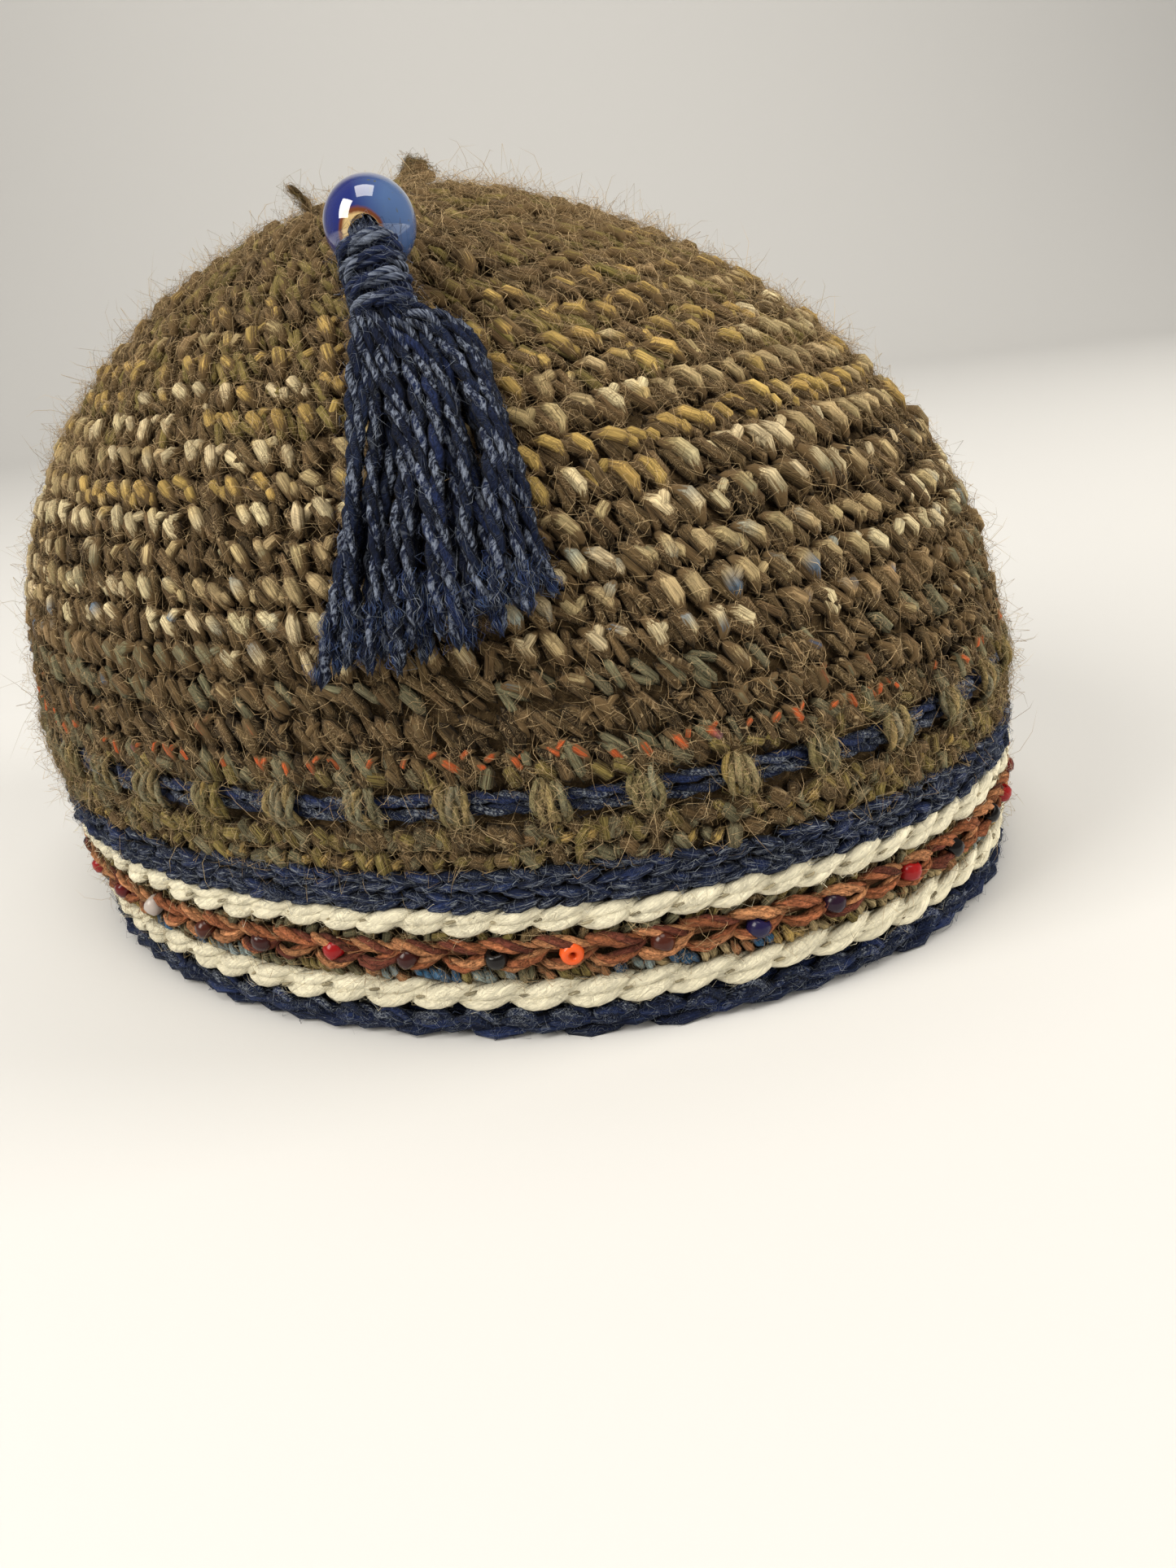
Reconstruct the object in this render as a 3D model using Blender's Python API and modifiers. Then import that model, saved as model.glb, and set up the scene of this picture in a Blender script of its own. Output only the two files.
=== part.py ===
"""A crocheted beanie with a glass bead and a yarn tassel, modelled in Blender.

Metres, +Z up. The hat stands on its rim, which lies on z = 0, and its front looks along -Y.
The dome is a wall whose level sections are ovals: two half ovals that meet at the sides, one
for the front and one for the back. Places on the wall are given by two numbers: share, the part
of the way round the rim, counted from the +X side, and climb, the distance up the wall from
the rim, measured along the -X side.
"""

import math

import bmesh
import bpy
from mathutils import Matrix, Vector

# The dome, measured on the outside of its wall
HAT_LENGTH = 0.190
HAT_BREADTH = 0.160
CROWN_HEIGHT = 0.1295
BACK_LEAN = 0.008
LEAN_CURVE = 1.4
WALL = 0.0055

# How each side of the dome narrows with height: a blunter shoulder has a larger drop and
# closing, and swell is how far it bulges past the rim, as a share of its half width
SIDES = {
    "front": {"drop": 3.35, "closing": 1.40, "swell": 0.05},
    "back": {"drop": 3.40, "closing": 1.75, "swell": 0.095},
    "side": {"drop": 2.60, "closing": 1.90, "swell": 0.058},
}

# Clearance between pieces that touch on the real hat
GAP = 0.0003

# The edging round and the chains, from the rim upward
EDGING_HEIGHT = 0.0052
EDGING_PROUD = 0.0008
EDGING_ROUNDING = 0.0011
LOWER_CHAIN_HEIGHT = 0.0050
SMALL_ROUND_HEIGHT = 0.0020
RUST_CHAIN_HEIGHT = 0.0062
UPPER_CHAIN_HEIGHT = 0.0040
NAVY_BAND_HEIGHT = 0.0068
CHAIN_THICKNESS = 0.0032
BAND_THICKNESS = 0.0027
BAND_SEAT_DEPTH = 0.0021

# The round of upright posts and the yarn that runs behind it
OLIVE_ROUND_HEIGHT = 0.0060
POSTS = 40
FIRST_POST_SHARE = 0.0015
POST_HEIGHT = 0.0068
POST_LAP = 0.0016
POST_WIDTH = 0.0054
POST_THICKNESS = 0.0022
POST_PROUD = 0.0016
POST_CLEARANCE = 0.0003
POST_SLANT = math.radians(13)
GROOVE_DEPTH = 0.0030

# The rounds of stitches above the posts
ROUND_PITCH = 0.0056
ROUND_DEPTH = 0.0014
CLOSING_ROUND = 0.0070

# The nub at the top
KNOT_WIDTH = 0.0070
KNOT_HEIGHT = 0.0036

# The glass bead
BEAD_DIAMETER = 0.0137
BORE_CLEARANCE = 0.0005
BEAD_LIFT = 0.0009
BEAD_SHARE = 0.5531
BEAD_CLIMB = 0.1253
BEAD_TILT = math.radians(27)
BEAD_STEPS = 9

# The yarn through the bead
CORD_DIAMETER = 0.0030
CORD_REACH = 0.0045

# The tassel: a wound neck under the bead, and locks that fan out over the dome
NECK_DIAMETER = 0.0096
NECK_LENGTH = 0.0096
NECK_SWAY = 0.0016
NECK_CLEARANCE = 0.0011
TASSEL_LENGTH = 0.0475
TASSEL_SPREAD = 0.0360
LOCK_DIAMETER = 0.0044
LOCK_CLEARANCE = 0.0006
LAYER_LIFT = 0.0026
LOCK_POINTS = 7

# One row for each lock: where it leaves the neck as a share of the neck's diameter, where it
# ends as a share of the tassel's spread, how far it reaches as a share of the tassel's length,
# how early it swings to its place (1 is steady), and its layer over the dome
LOCKS = (
    {"start": -0.42, "end": -0.46, "reach": 1.00, "swing": 1.00, "layer": 0},
    {"start": -0.31, "end": -0.33, "reach": 0.97, "swing": 1.00, "layer": 0},
    {"start": -0.21, "end": -0.21, "reach": 0.97, "swing": 1.00, "layer": 0},
    {"start": -0.10, "end": -0.08, "reach": 0.96, "swing": 0.95, "layer": 0},
    {"start": 0.00, "end": 0.04, "reach": 0.94, "swing": 0.90, "layer": 0},
    {"start": 0.10, "end": 0.17, "reach": 0.92, "swing": 0.75, "layer": 0},
    {"start": 0.22, "end": 0.29, "reach": 0.90, "swing": 0.60, "layer": 0},
    {"start": 0.35, "end": 0.42, "reach": 0.88, "swing": 0.45, "layer": 0},
    {"start": 0.45, "end": 0.54, "reach": 0.79, "swing": 0.35, "layer": 0},
    {"start": -0.29, "end": -0.27, "reach": 0.94, "swing": 1.00, "layer": 1},
    {"start": -0.13, "end": -0.12, "reach": 0.92, "swing": 1.00, "layer": 1},
    {"start": 0.04, "end": 0.06, "reach": 0.90, "swing": 0.90, "layer": 1},
    {"start": 0.20, "end": 0.24, "reach": 0.85, "swing": 0.60, "layer": 1},
)

# Fineness of the solids
SECTIONS = POSTS
LINING_ROUNDS = 7
RIM_STEPS = 720
CLIMB_STEPS = 400
BEAD_SIDES = 16
CORD_RESOLUTION = 2
LOCK_RESOLUTION = 1

# Colour, roughness and metallic value of each material
FINISHES = {
    "mohair": ((0.145, 0.098, 0.052), 0.95, 0.0),
    "navy_yarn": ((0.030, 0.042, 0.100), 0.90, 0.0),
    "cream_yarn": ((0.720, 0.640, 0.500), 0.90, 0.0),
    "rust_yarn": ((0.300, 0.090, 0.035), 0.90, 0.0),
    "blue_glass": ((0.060, 0.130, 0.520), 0.08, 0.0),
}


def clear_scene():
    for thing in list(bpy.data.objects):
        bpy.data.objects.remove(thing, do_unlink=True)


def new_collection(name):
    collection = bpy.data.collections.new(name)
    bpy.context.scene.collection.children.link(collection)
    return collection


def material(name, finish):
    colour, roughness, metallic = FINISHES[finish]
    made = bpy.data.materials.new(name)
    made.use_nodes = True
    shader = made.node_tree.nodes["Principled BSDF"]
    shader.inputs["Base Color"].default_value = (*colour, 1.0)
    shader.inputs["Roughness"].default_value = roughness
    shader.inputs["Metallic"].default_value = metallic
    return made


def width_share(rise, side):
    """Half width of the dome at a height, as a share of its half width at the rim."""
    row = SIDES[side]
    narrowing = max(0.0, 1 - rise ** row["drop"]) ** (1 / row["closing"])
    return narrowing * (1 + row["swell"] * math.sin(math.pi * rise))


def oval_point(rise, angle):
    """Point on the outside of the wall, by its share of the height and its oval's angle."""
    end = "back" if math.sin(angle) > 0 else "front"
    x = HAT_BREADTH / 2 * width_share(rise, "side") * math.cos(angle)
    y = HAT_LENGTH / 2 * width_share(rise, end) * math.sin(angle)
    return Vector((x, BACK_LEAN * rise ** LEAN_CURVE + y, CROWN_HEIGHT * rise))


def running_lengths(points):
    lengths = [0.0]
    for first, second in zip(points, points[1:]):
        lengths.append(lengths[-1] + (second - first).length)
    return lengths


def read_table(value, values, results):
    """Straight-line reading of a rising table."""
    value = min(max(value, values[0]), values[-1])
    step = next((i for i in range(1, len(values)) if values[i] >= value), len(values) - 1)
    part = (value - values[step - 1]) / (values[step] - values[step - 1])
    return results[step - 1] + part * (results[step] - results[step - 1])


RIM_ANGLES = [2 * math.pi * i / RIM_STEPS for i in range(RIM_STEPS + 1)]
RIM_LENGTHS = running_lengths([oval_point(0, angle) for angle in RIM_ANGLES])
RIM_GIRTH = RIM_LENGTHS[-1]
RISES = [1 - (1 - i / CLIMB_STEPS) ** 1.6 for i in range(CLIMB_STEPS + 1)]
CLIMBS = running_lengths([oval_point(rise, math.pi) for rise in RISES])
CLIMB_TO_TOP = CLIMBS[-1]


def angle_at(share):
    return read_table((share % 1) * RIM_GIRTH, RIM_LENGTHS, RIM_ANGLES)


def rise_at(climb):
    return read_table(climb, CLIMBS, RISES)


def outward_at(rise, angle):
    """The wall's outward direction."""
    step = 0.0005
    rise = min(max(rise, step), 1 - 2 * step)
    up = oval_point(rise + step, angle) - oval_point(rise - step, angle)
    around = oval_point(rise, angle + step) - oval_point(rise, angle - step)
    return around.cross(up).normalized()


def wall_point(share, climb, proud=0.0):
    """Point that stands proud of the outside of the wall, or inside it where proud is negative."""
    angle = angle_at(share)
    rise = rise_at(climb)
    return oval_point(rise, angle) + outward_at(rise, angle) * proud


def level_point(share, height, proud):
    """As wall_point, but at a height, and moved out level."""
    angle = angle_at(share)
    rise = height / CROWN_HEIGHT
    outward = outward_at(rise, angle)
    outward.z = 0
    return oval_point(rise, angle) + outward.normalized() * proud


def add_object(name, mesh, finish, collection):
    thing = bpy.data.objects.new(name, mesh)
    collection.objects.link(thing)
    mesh.materials.clear()
    mesh.materials.append(material(name, finish))
    mesh.shade_smooth()
    mesh.set_sharp_from_angle(angle=math.radians(50))
    return thing


def mesh_from_rings(name, rings, closed, caps=()):
    """Loft through rings of points. closed joins the last ring to the first, and caps are
    the points that close the first and the last ring."""
    shape = bmesh.new()
    rows = [[shape.verts.new(point) for point in ring] for ring in rings]
    count = len(rows[0])
    pairs = list(zip(rows, rows[1:]))
    if closed:
        pairs.append((rows[-1], rows[0]))
    for low, high in pairs:
        for i in range(count):
            j = (i + 1) % count
            shape.faces.new((low[i], low[j], high[j], high[i]))
    for row, cap in zip((rows[0], rows[-1]), caps):
        tip = shape.verts.new(cap)
        for i in range(count):
            shape.faces.new((row[i], row[(i + 1) % count], tip))
    bmesh.ops.recalc_face_normals(shape, faces=shape.faces)
    mesh = bpy.data.meshes.new(name)
    shape.to_mesh(mesh)
    shape.free()
    return mesh


def set_guide(thing, collection):
    collection.objects.link(thing)
    thing.hide_render = True
    thing.display_type = "WIRE"


def stack_heights():
    """Heights of each round from the rim up, worked out once from their own sizes."""
    heights = {"crown_foot": EDGING_HEIGHT + GAP}
    level = heights["crown_foot"]
    for name, height, space in (
        ("lower_chain", LOWER_CHAIN_HEIGHT, SMALL_ROUND_HEIGHT),
        ("rust_chain", RUST_CHAIN_HEIGHT, GAP),
        ("upper_chain", UPPER_CHAIN_HEIGHT, GAP),
        ("navy_band", NAVY_BAND_HEIGHT, GAP),
    ):
        heights[name] = level + height / 2
        level += height + space
    heights["seat_top"] = level + GAP
    heights["groove_low"] = heights["seat_top"] + OLIVE_ROUND_HEIGHT
    heights["groove_high"] = heights["groove_low"] + POST_HEIGHT
    heights["groove"] = (heights["groove_low"] + heights["groove_high"]) / 2
    return heights


HEIGHTS = stack_heights()


def section_share(index):
    """Where a section of the solids stands round the rim, halfway between two posts."""
    return FIRST_POST_SHARE + (index - 0.5) / SECTIONS


def crown_profile():
    """Climb and depth of the outside of the dome, from its foot to near its top."""
    lip = BAND_SEAT_DEPTH * 0.6
    rows = [
        (HEIGHTS["crown_foot"], -BAND_SEAT_DEPTH),
        (HEIGHTS["seat_top"], -BAND_SEAT_DEPTH),
        (HEIGHTS["seat_top"] + lip, 0.0),
        (HEIGHTS["groove_low"] - lip, 0.0),
        (HEIGHTS["groove_low"], -GROOVE_DEPTH),
        (HEIGHTS["groove_high"], -GROOVE_DEPTH),
        (HEIGHTS["groove_high"] + lip, 0.0),
    ]
    start = HEIGHTS["groove_high"] + lip
    end = CLIMB_TO_TOP - CLOSING_ROUND
    rounds = round((end - start) / ROUND_PITCH)
    pitch = (end - start) / rounds
    for i in range(rounds):
        rows.append((start + (i + 0.5) * pitch, -ROUND_DEPTH))
        rows.append((start + (i + 1) * pitch, 0.0))
    return rows


def lining_ring(level):
    """One level ring of the inside of the dome: 0 is its foot and 1 its top."""
    foot = HEIGHTS["crown_foot"]
    if level == 0:
        return [level_point(section_share(i), foot, -WALL) for i in range(SECTIONS)]
    climb = foot + (CLIMB_TO_TOP - CLOSING_ROUND - foot) * level
    return [wall_point(section_share(i), climb, -WALL) for i in range(SECTIONS)]


def make_crown(collection, guides):
    outside = []
    for climb, depth in crown_profile():
        outside.append([wall_point(section_share(i), climb, depth) for i in range(SECTIONS)])
    outside[0] = [
        level_point(section_share(i), HEIGHTS["crown_foot"], -BAND_SEAT_DEPTH) for i in range(SECTIONS)
    ]
    lining = [lining_ring(i / LINING_ROUNDS) for i in range(LINING_ROUNDS + 1)]
    top = oval_point(1, 0)
    rings = list(reversed(outside)) + lining
    caps = (top, top - Vector((0, 0, WALL)))
    mesh = mesh_from_rings("crown", rings, False, caps)
    crown = add_object("crown", mesh, "mohair", collection)
    posts = make_posts(guides)
    union = crown.modifiers.new("posts", "BOOLEAN")
    union.operation = "UNION"
    union.solver = "EXACT"
    union.object = posts
    return crown


def make_posts(guides):
    """Upright posts that bridge the groove, one in the middle of each section of the wall."""
    middle = POST_PROUD - POST_THICKNESS / 2
    shape = bmesh.new()
    for i in range(POSTS):
        share = FIRST_POST_SHARE + i / POSTS
        low = wall_point(share, HEIGHTS["groove_low"] - POST_LAP, middle)
        high = wall_point(share, HEIGHTS["groove_high"] + POST_LAP, middle)
        up = (high - low).normalized()
        outward = outward_at(rise_at(HEIGHTS["groove"]), angle_at(share))
        around = up.cross(outward).normalized()
        outward = around.cross(up)
        frame = Matrix((around, outward, up)).transposed().to_4x4()
        frame.translation = (low + high) / 2
        turn = Matrix.Rotation(POST_SLANT, 4, "Y")
        size = Matrix.Diagonal((POST_WIDTH, POST_THICKNESS, (high - low).length, 1.0))
        bmesh.ops.create_cone(
            shape, cap_ends=True, segments=6, radius1=0.5, radius2=0.5, depth=1.0,
            matrix=frame @ turn @ size,
        )
    mesh = bpy.data.meshes.new("posts")
    shape.to_mesh(mesh)
    shape.free()
    posts = bpy.data.objects.new("posts", mesh)
    set_guide(posts, guides)
    return posts


def make_band(name, height, section, finish, collection):
    """A round that lies on the wall: section rows are distance from the wall's outside and
    height from the round's middle."""
    rings = []
    for out, up in section:
        rings.append([level_point(section_share(i), height + up, out) for i in range(SECTIONS)])
    mesh = mesh_from_rings(name, rings, True)
    return add_object(name, mesh, finish, collection)


def chain_section(height, thickness):
    """A plump strand, flat where it lies on the wall."""
    seat = GAP - BAND_SEAT_DEPTH
    shares = ((0, -0.40), (0.55, -0.5), (1, -0.22), (1, 0.22), (0.55, 0.5), (0, 0.40))
    return [(seat + out * thickness, up * height) for out, up in shares]


def band_section(height, thickness):
    """Two plump rows, one above the other."""
    seat = GAP - BAND_SEAT_DEPTH
    shares = ((0, -0.5), (0.7, -0.5), (1, -0.27), (0.6, 0), (1, 0.27), (0.7, 0.5), (0, 0.5))
    return [(seat + out * thickness, up * height) for out, up in shares]


def make_bands(collection):
    make_band("cream_chain_lower", HEIGHTS["lower_chain"],
              chain_section(LOWER_CHAIN_HEIGHT, CHAIN_THICKNESS), "cream_yarn", collection)
    make_band("rust_chain", HEIGHTS["rust_chain"],
              chain_section(RUST_CHAIN_HEIGHT, CHAIN_THICKNESS), "rust_yarn", collection)
    make_band("cream_chain_upper", HEIGHTS["upper_chain"],
              chain_section(UPPER_CHAIN_HEIGHT, BAND_THICKNESS), "cream_yarn", collection)
    make_band("navy_band", HEIGHTS["navy_band"],
              band_section(NAVY_BAND_HEIGHT, BAND_THICKNESS), "navy_yarn", collection)
    inner = -WALL
    outer = EDGING_PROUD
    low = EDGING_ROUNDING
    high = EDGING_HEIGHT - EDGING_ROUNDING
    edging = (
        (inner + low, 0), (outer - low, 0), (outer, low), (outer, high),
        (outer - low, EDGING_HEIGHT), (inner + low, EDGING_HEIGHT), (inner, high), (inner, low),
    )
    make_band("rim_edging", 0, edging, "navy_yarn", collection)
    back = GAP - GROOVE_DEPTH
    front = POST_PROUD - POST_THICKNESS - POST_CLEARANCE
    half = POST_HEIGHT / 2 - GAP
    woven = ((back, -half * 0.8), (front, -half * 0.6), (front, half * 0.6), (back, half * 0.8))
    make_band("woven_yarn", HEIGHTS["groove"], woven, "navy_yarn", collection)


def make_knot(collection):
    """The nub on the top: a dome, flat below, that sits on the wall's highest point."""
    shape = bmesh.new()
    half = KNOT_WIDTH / 2
    place = Matrix.Translation(oval_point(1, 0) + Vector((0, 0, GAP + KNOT_HEIGHT / 2)))
    bmesh.ops.create_uvsphere(
        shape, u_segments=10, v_segments=6, radius=1,
        matrix=place @ Matrix.Diagonal((half, half, KNOT_HEIGHT / 2, 1.0)),
    )
    mesh = bpy.data.meshes.new("crown_knot")
    shape.to_mesh(mesh)
    shape.free()
    return add_object("crown_knot", mesh, "mohair", collection)


def bead_frame():
    """Centre of the bead, and the direction in which its bore comes out above the tassel."""
    centre = wall_point(BEAD_SHARE, BEAD_CLIMB, BEAD_DIAMETER / 2 + BEAD_LIFT)
    rise = rise_at(BEAD_CLIMB)
    angle = angle_at(BEAD_SHARE)
    outward = outward_at(rise, angle)
    down = (oval_point(rise - 0.01, angle) - oval_point(rise, angle)).normalized()
    axis = down * math.cos(BEAD_TILT) + outward * math.sin(BEAD_TILT)
    return centre, axis.normalized()


def make_bead(collection):
    """A ball with a bore, turned about the bore from its outer side, top to bottom."""
    centre, axis = bead_frame()
    bore = CORD_DIAMETER / 2 + BORE_CLEARANCE
    radius = BEAD_DIAMETER / 2
    edge = math.asin(bore / radius)
    profile = []
    for i in range(BEAD_STEPS + 1):
        angle = edge + (math.pi - 2 * edge) * i / BEAD_STEPS
        profile.append((radius * math.sin(angle), 0, radius * math.cos(angle)))
    mesh = bpy.data.meshes.new("glass_bead")
    edges = [(i, (i + 1) % len(profile)) for i in range(len(profile))]
    mesh.from_pydata(profile, edges, [])
    bead = bpy.data.objects.new("glass_bead", mesh)
    collection.objects.link(bead)
    mesh.materials.append(material("glass_bead", "blue_glass"))
    screw = bead.modifiers.new("turned", "SCREW")
    screw.steps = BEAD_SIDES
    screw.render_steps = BEAD_SIDES
    screw.use_merge_vertices = True
    screw.merge_threshold = 0.00001
    bead.rotation_mode = "QUATERNION"
    bead.rotation_quaternion = axis.to_track_quat("Z", "Y")
    bead.location = centre
    return bead


def smooth_route(points, count):
    """Points read evenly from a smooth curve through a few chosen ones."""
    last = len(points) - 1
    route = []
    for i in range(count):
        place = last * i / (count - 1)
        k = min(int(place), last - 1)
        t = place - k
        p1, p2 = points[k], points[k + 1]
        p0 = points[k - 1] if k else p1 * 2 - p2
        p3 = points[k + 2] if k + 2 <= last else p2 * 2 - p1
        curve = p1 * 2 + (p2 - p0) * t + (p0 * 2 - p1 * 5 + p2 * 4 - p3) * t ** 2
        route.append((curve + (p1 * 3 - p0 - p2 * 3 + p3) * t ** 3) / 2)
    return route


def tube_mesh(name, points, radii, resolution):
    """A tube along points, as a closed mesh."""
    curve = bpy.data.curves.new(name, "CURVE")
    curve.dimensions = "3D"
    curve.bevel_depth = 1.0
    curve.bevel_resolution = resolution
    curve.use_fill_caps = True
    spline = curve.splines.new("POLY")
    spline.points.add(len(points) - 1)
    for place, point, radius in zip(spline.points, points, radii):
        place.co = (*point, 1)
        place.radius = radius
    holder = bpy.data.objects.new(name, curve)
    bpy.context.scene.collection.objects.link(holder)
    graph = bpy.context.evaluated_depsgraph_get()
    mesh = bpy.data.meshes.new_from_object(holder.evaluated_get(graph))
    bpy.data.objects.remove(holder, do_unlink=True)
    shape = bmesh.new()
    shape.from_mesh(mesh)
    bmesh.ops.remove_doubles(shape, verts=shape.verts, dist=0.00001)
    bmesh.ops.recalc_face_normals(shape, faces=shape.faces)
    shape.to_mesh(mesh)
    shape.free()
    mesh.name = name
    return mesh


def tassel_root():
    """Share and climb of the neck's foot, from which the locks fan out."""
    return BEAD_SHARE + NECK_SWAY / RIM_GIRTH, BEAD_CLIMB - BEAD_DIAMETER / 2 - NECK_LENGTH


def neck_ends():
    """Top of the tassel's neck, just under the bead's bore, and its foot."""
    centre, axis = bead_frame()
    top = centre + axis * (BEAD_DIAMETER / 2 + GAP)
    share, climb = tassel_root()
    foot = wall_point(share, climb, NECK_DIAMETER / 2 + NECK_CLEARANCE)
    return top, foot


def make_bead_cord(collection):
    """The yarn from the neck through the bead's bore to the wall behind it."""
    centre, axis = bead_frame()
    radius = CORD_DIAMETER / 2
    near = centre + axis * (BEAD_DIAMETER / 2 - GAP)
    far = centre - axis * (BEAD_DIAMETER / 2 + radius)
    end = wall_point(BEAD_SHARE, BEAD_CLIMB + BEAD_DIAMETER / 2 + CORD_REACH, radius + GAP)
    turn = (far + end) / 2 - axis * radius / 2
    points = [near, centre] + smooth_route([far, turn, end], 5)
    mesh = tube_mesh("bead_cord", points, [radius] * len(points), CORD_RESOLUTION)
    return add_object("bead_cord", mesh, "navy_yarn", collection)


def lock_route(row):
    """A lock's points, from inside the neck's foot to its free end on the dome."""
    share, top_climb = tassel_root()
    lift = LOCK_DIAMETER / 2 + LOCK_CLEARANCE + row["layer"] * LAYER_LIFT
    start = row["start"] * NECK_DIAMETER
    end = row["end"] * TASSEL_SPREAD
    points = []
    for i in range(LOCK_POINTS):
        t = (i + 1) / LOCK_POINTS
        side = start + (end - start) * t ** row["swing"]
        climb = top_climb - row["reach"] * TASSEL_LENGTH * t
        points.append(wall_point(share + side / RIM_GIRTH, climb, lift))
    across = wall_point(share + NECK_DIAMETER / RIM_GIRTH, top_climb) - wall_point(share, top_climb)
    return [neck_ends()[1] + across.normalized() * start * 0.6] + points


def make_tassel(collection, guides):
    top, foot = neck_ends()
    radius = NECK_DIAMETER / 2
    mouth = top + bead_frame()[1] * CORD_DIAMETER / 2
    neck_points = [top] + smooth_route([mouth, (mouth + foot) / 2, foot], 5)
    down = (foot - neck_points[-2]).normalized()
    neck_points.append(foot + down * radius * 0.6)
    shares = (0.62, 0.95, 1.0, 0.96, 0.92, 1.0, 0.7)
    mesh = tube_mesh("tassel", neck_points, [radius * share for share in shares], CORD_RESOLUTION)
    tassel = add_object("tassel", mesh, "navy_yarn", collection)
    thickness = LOCK_DIAMETER / 2
    for i, row in enumerate(LOCKS):
        route = lock_route(row)
        radii = [thickness * 0.9] + [thickness] * (len(route) - 2) + [thickness * 0.75]
        name = f"lock_{i + 1}"
        lock = bpy.data.objects.new(name, tube_mesh(name, route, radii, LOCK_RESOLUTION))
        set_guide(lock, guides)
    union = tassel.modifiers.new("locks", "BOOLEAN")
    union.operation = "UNION"
    union.solver = "EXACT"
    union.operand_type = "COLLECTION"
    union.collection = guides
    return tassel


def centre_on_floor(collection):
    """Move the hat so that the middle of its outline stands on the origin."""
    bpy.context.view_layer.update()
    graph = bpy.context.evaluated_depsgraph_get()
    corners = []
    for thing in collection.objects:
        seen = thing.evaluated_get(graph)
        corners.extend(seen.matrix_world @ vert.co for vert in seen.data.vertices)
    low = Vector(min(corner[axis] for corner in corners) for axis in range(3))
    high = Vector(max(corner[axis] for corner in corners) for axis in range(3))
    return Vector(((low.x + high.x) / 2, (low.y + high.y) / 2, low.z))


def main():
    clear_scene()
    hat = new_collection("beanie")
    post_forms = new_collection("post_forms")
    lock_forms = new_collection("lock_forms")
    make_crown(hat, post_forms)
    make_bands(hat)
    make_knot(hat)
    make_bead(hat)
    make_bead_cord(hat)
    make_tassel(hat, lock_forms)
    offset = centre_on_floor(hat)
    for thing in list(hat.objects) + list(post_forms.objects) + list(lock_forms.objects):
        thing.location -= offset


main()
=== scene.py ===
"""A crocheted beanie: its yarn, stitches, beads, tassel and fuzz, in Blender.

Metres, +Z up. The hat stands on its rim at z = 0 and its front looks along -Y. Places on the
dome are given by share, the part of the way round the rim from the +X side, and climb, the
distance up the wall from the rim.
"""

import math

import bpy
import numpy as np
from mathutils import Matrix, Vector


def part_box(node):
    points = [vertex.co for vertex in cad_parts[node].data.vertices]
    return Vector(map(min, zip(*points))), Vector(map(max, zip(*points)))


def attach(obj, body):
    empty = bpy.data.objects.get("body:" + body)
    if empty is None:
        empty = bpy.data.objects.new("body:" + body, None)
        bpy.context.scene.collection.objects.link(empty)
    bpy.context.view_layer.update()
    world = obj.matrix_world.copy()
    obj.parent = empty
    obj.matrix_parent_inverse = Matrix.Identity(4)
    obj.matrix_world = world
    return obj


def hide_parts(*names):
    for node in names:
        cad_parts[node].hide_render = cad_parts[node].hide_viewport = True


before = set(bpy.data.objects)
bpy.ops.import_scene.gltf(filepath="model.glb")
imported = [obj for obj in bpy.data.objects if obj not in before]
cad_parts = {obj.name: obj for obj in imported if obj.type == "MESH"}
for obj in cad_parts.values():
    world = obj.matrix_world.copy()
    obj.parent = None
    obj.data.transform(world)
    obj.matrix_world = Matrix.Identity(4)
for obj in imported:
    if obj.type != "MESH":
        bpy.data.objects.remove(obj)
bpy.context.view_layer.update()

MM = 0.001

# The dome, measured on the outside of its wall
HAT_LENGTH = 190 * MM
HAT_BREADTH = 160 * MM
CROWN_HEIGHT = 129.5 * MM
BACK_LEAN = 8 * MM
LEAN_CURVE = 1.4
WALL = 5.5 * MM

# How each side of the dome narrows with height
SIDES = {
    "front": {"drop": 3.35, "closing": 1.40, "swell": 0.05},
    "back": {"drop": 3.40, "closing": 1.75, "swell": 0.095},
    "side": {"drop": 2.60, "closing": 1.90, "swell": 0.058},
}

# Heights of the rounds near the rim, at their middles
LOWER_CHAIN = 8.0 * MM
SMALL_ROUND = 11.6 * MM
RUST_CHAIN = 15.9 * MM
GROUND_ROUND = 18.6 * MM
UPPER_CHAIN = 21.6 * MM
NAVY_ROWS = (25.0 * MM, 28.4 * MM)
OLIVE_ROWS = (31.6 * MM, 34.6 * MM)
GROOVE = 40.0 * MM
FIRST_ROUND = 46.0 * MM
HIGH_ROUNDS = 90.0 * MM

POSTS = 40
FIRST_POST_SHARE = 0.0015
ROUND_PITCH = 5.3 * MM
STITCH_PITCH = 4.7 * MM

# The bead and the tassel
BEAD_DIAMETER = 13.7 * MM
BEAD_LIFT = 0.9 * MM
BEAD_SHARE = 0.5531
BEAD_CLIMB = 125.3 * MM
BEAD_TILT = math.radians(27)
BORE_DIAMETER = 4.0 * MM
NECK_DIAMETER = 9.6 * MM
NECK_LENGTH = 9.6 * MM
NECK_SWAY = 1.6 * MM
NECK_CLEARANCE = 1.1 * MM
TASSEL_STRANDS = 31

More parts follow.
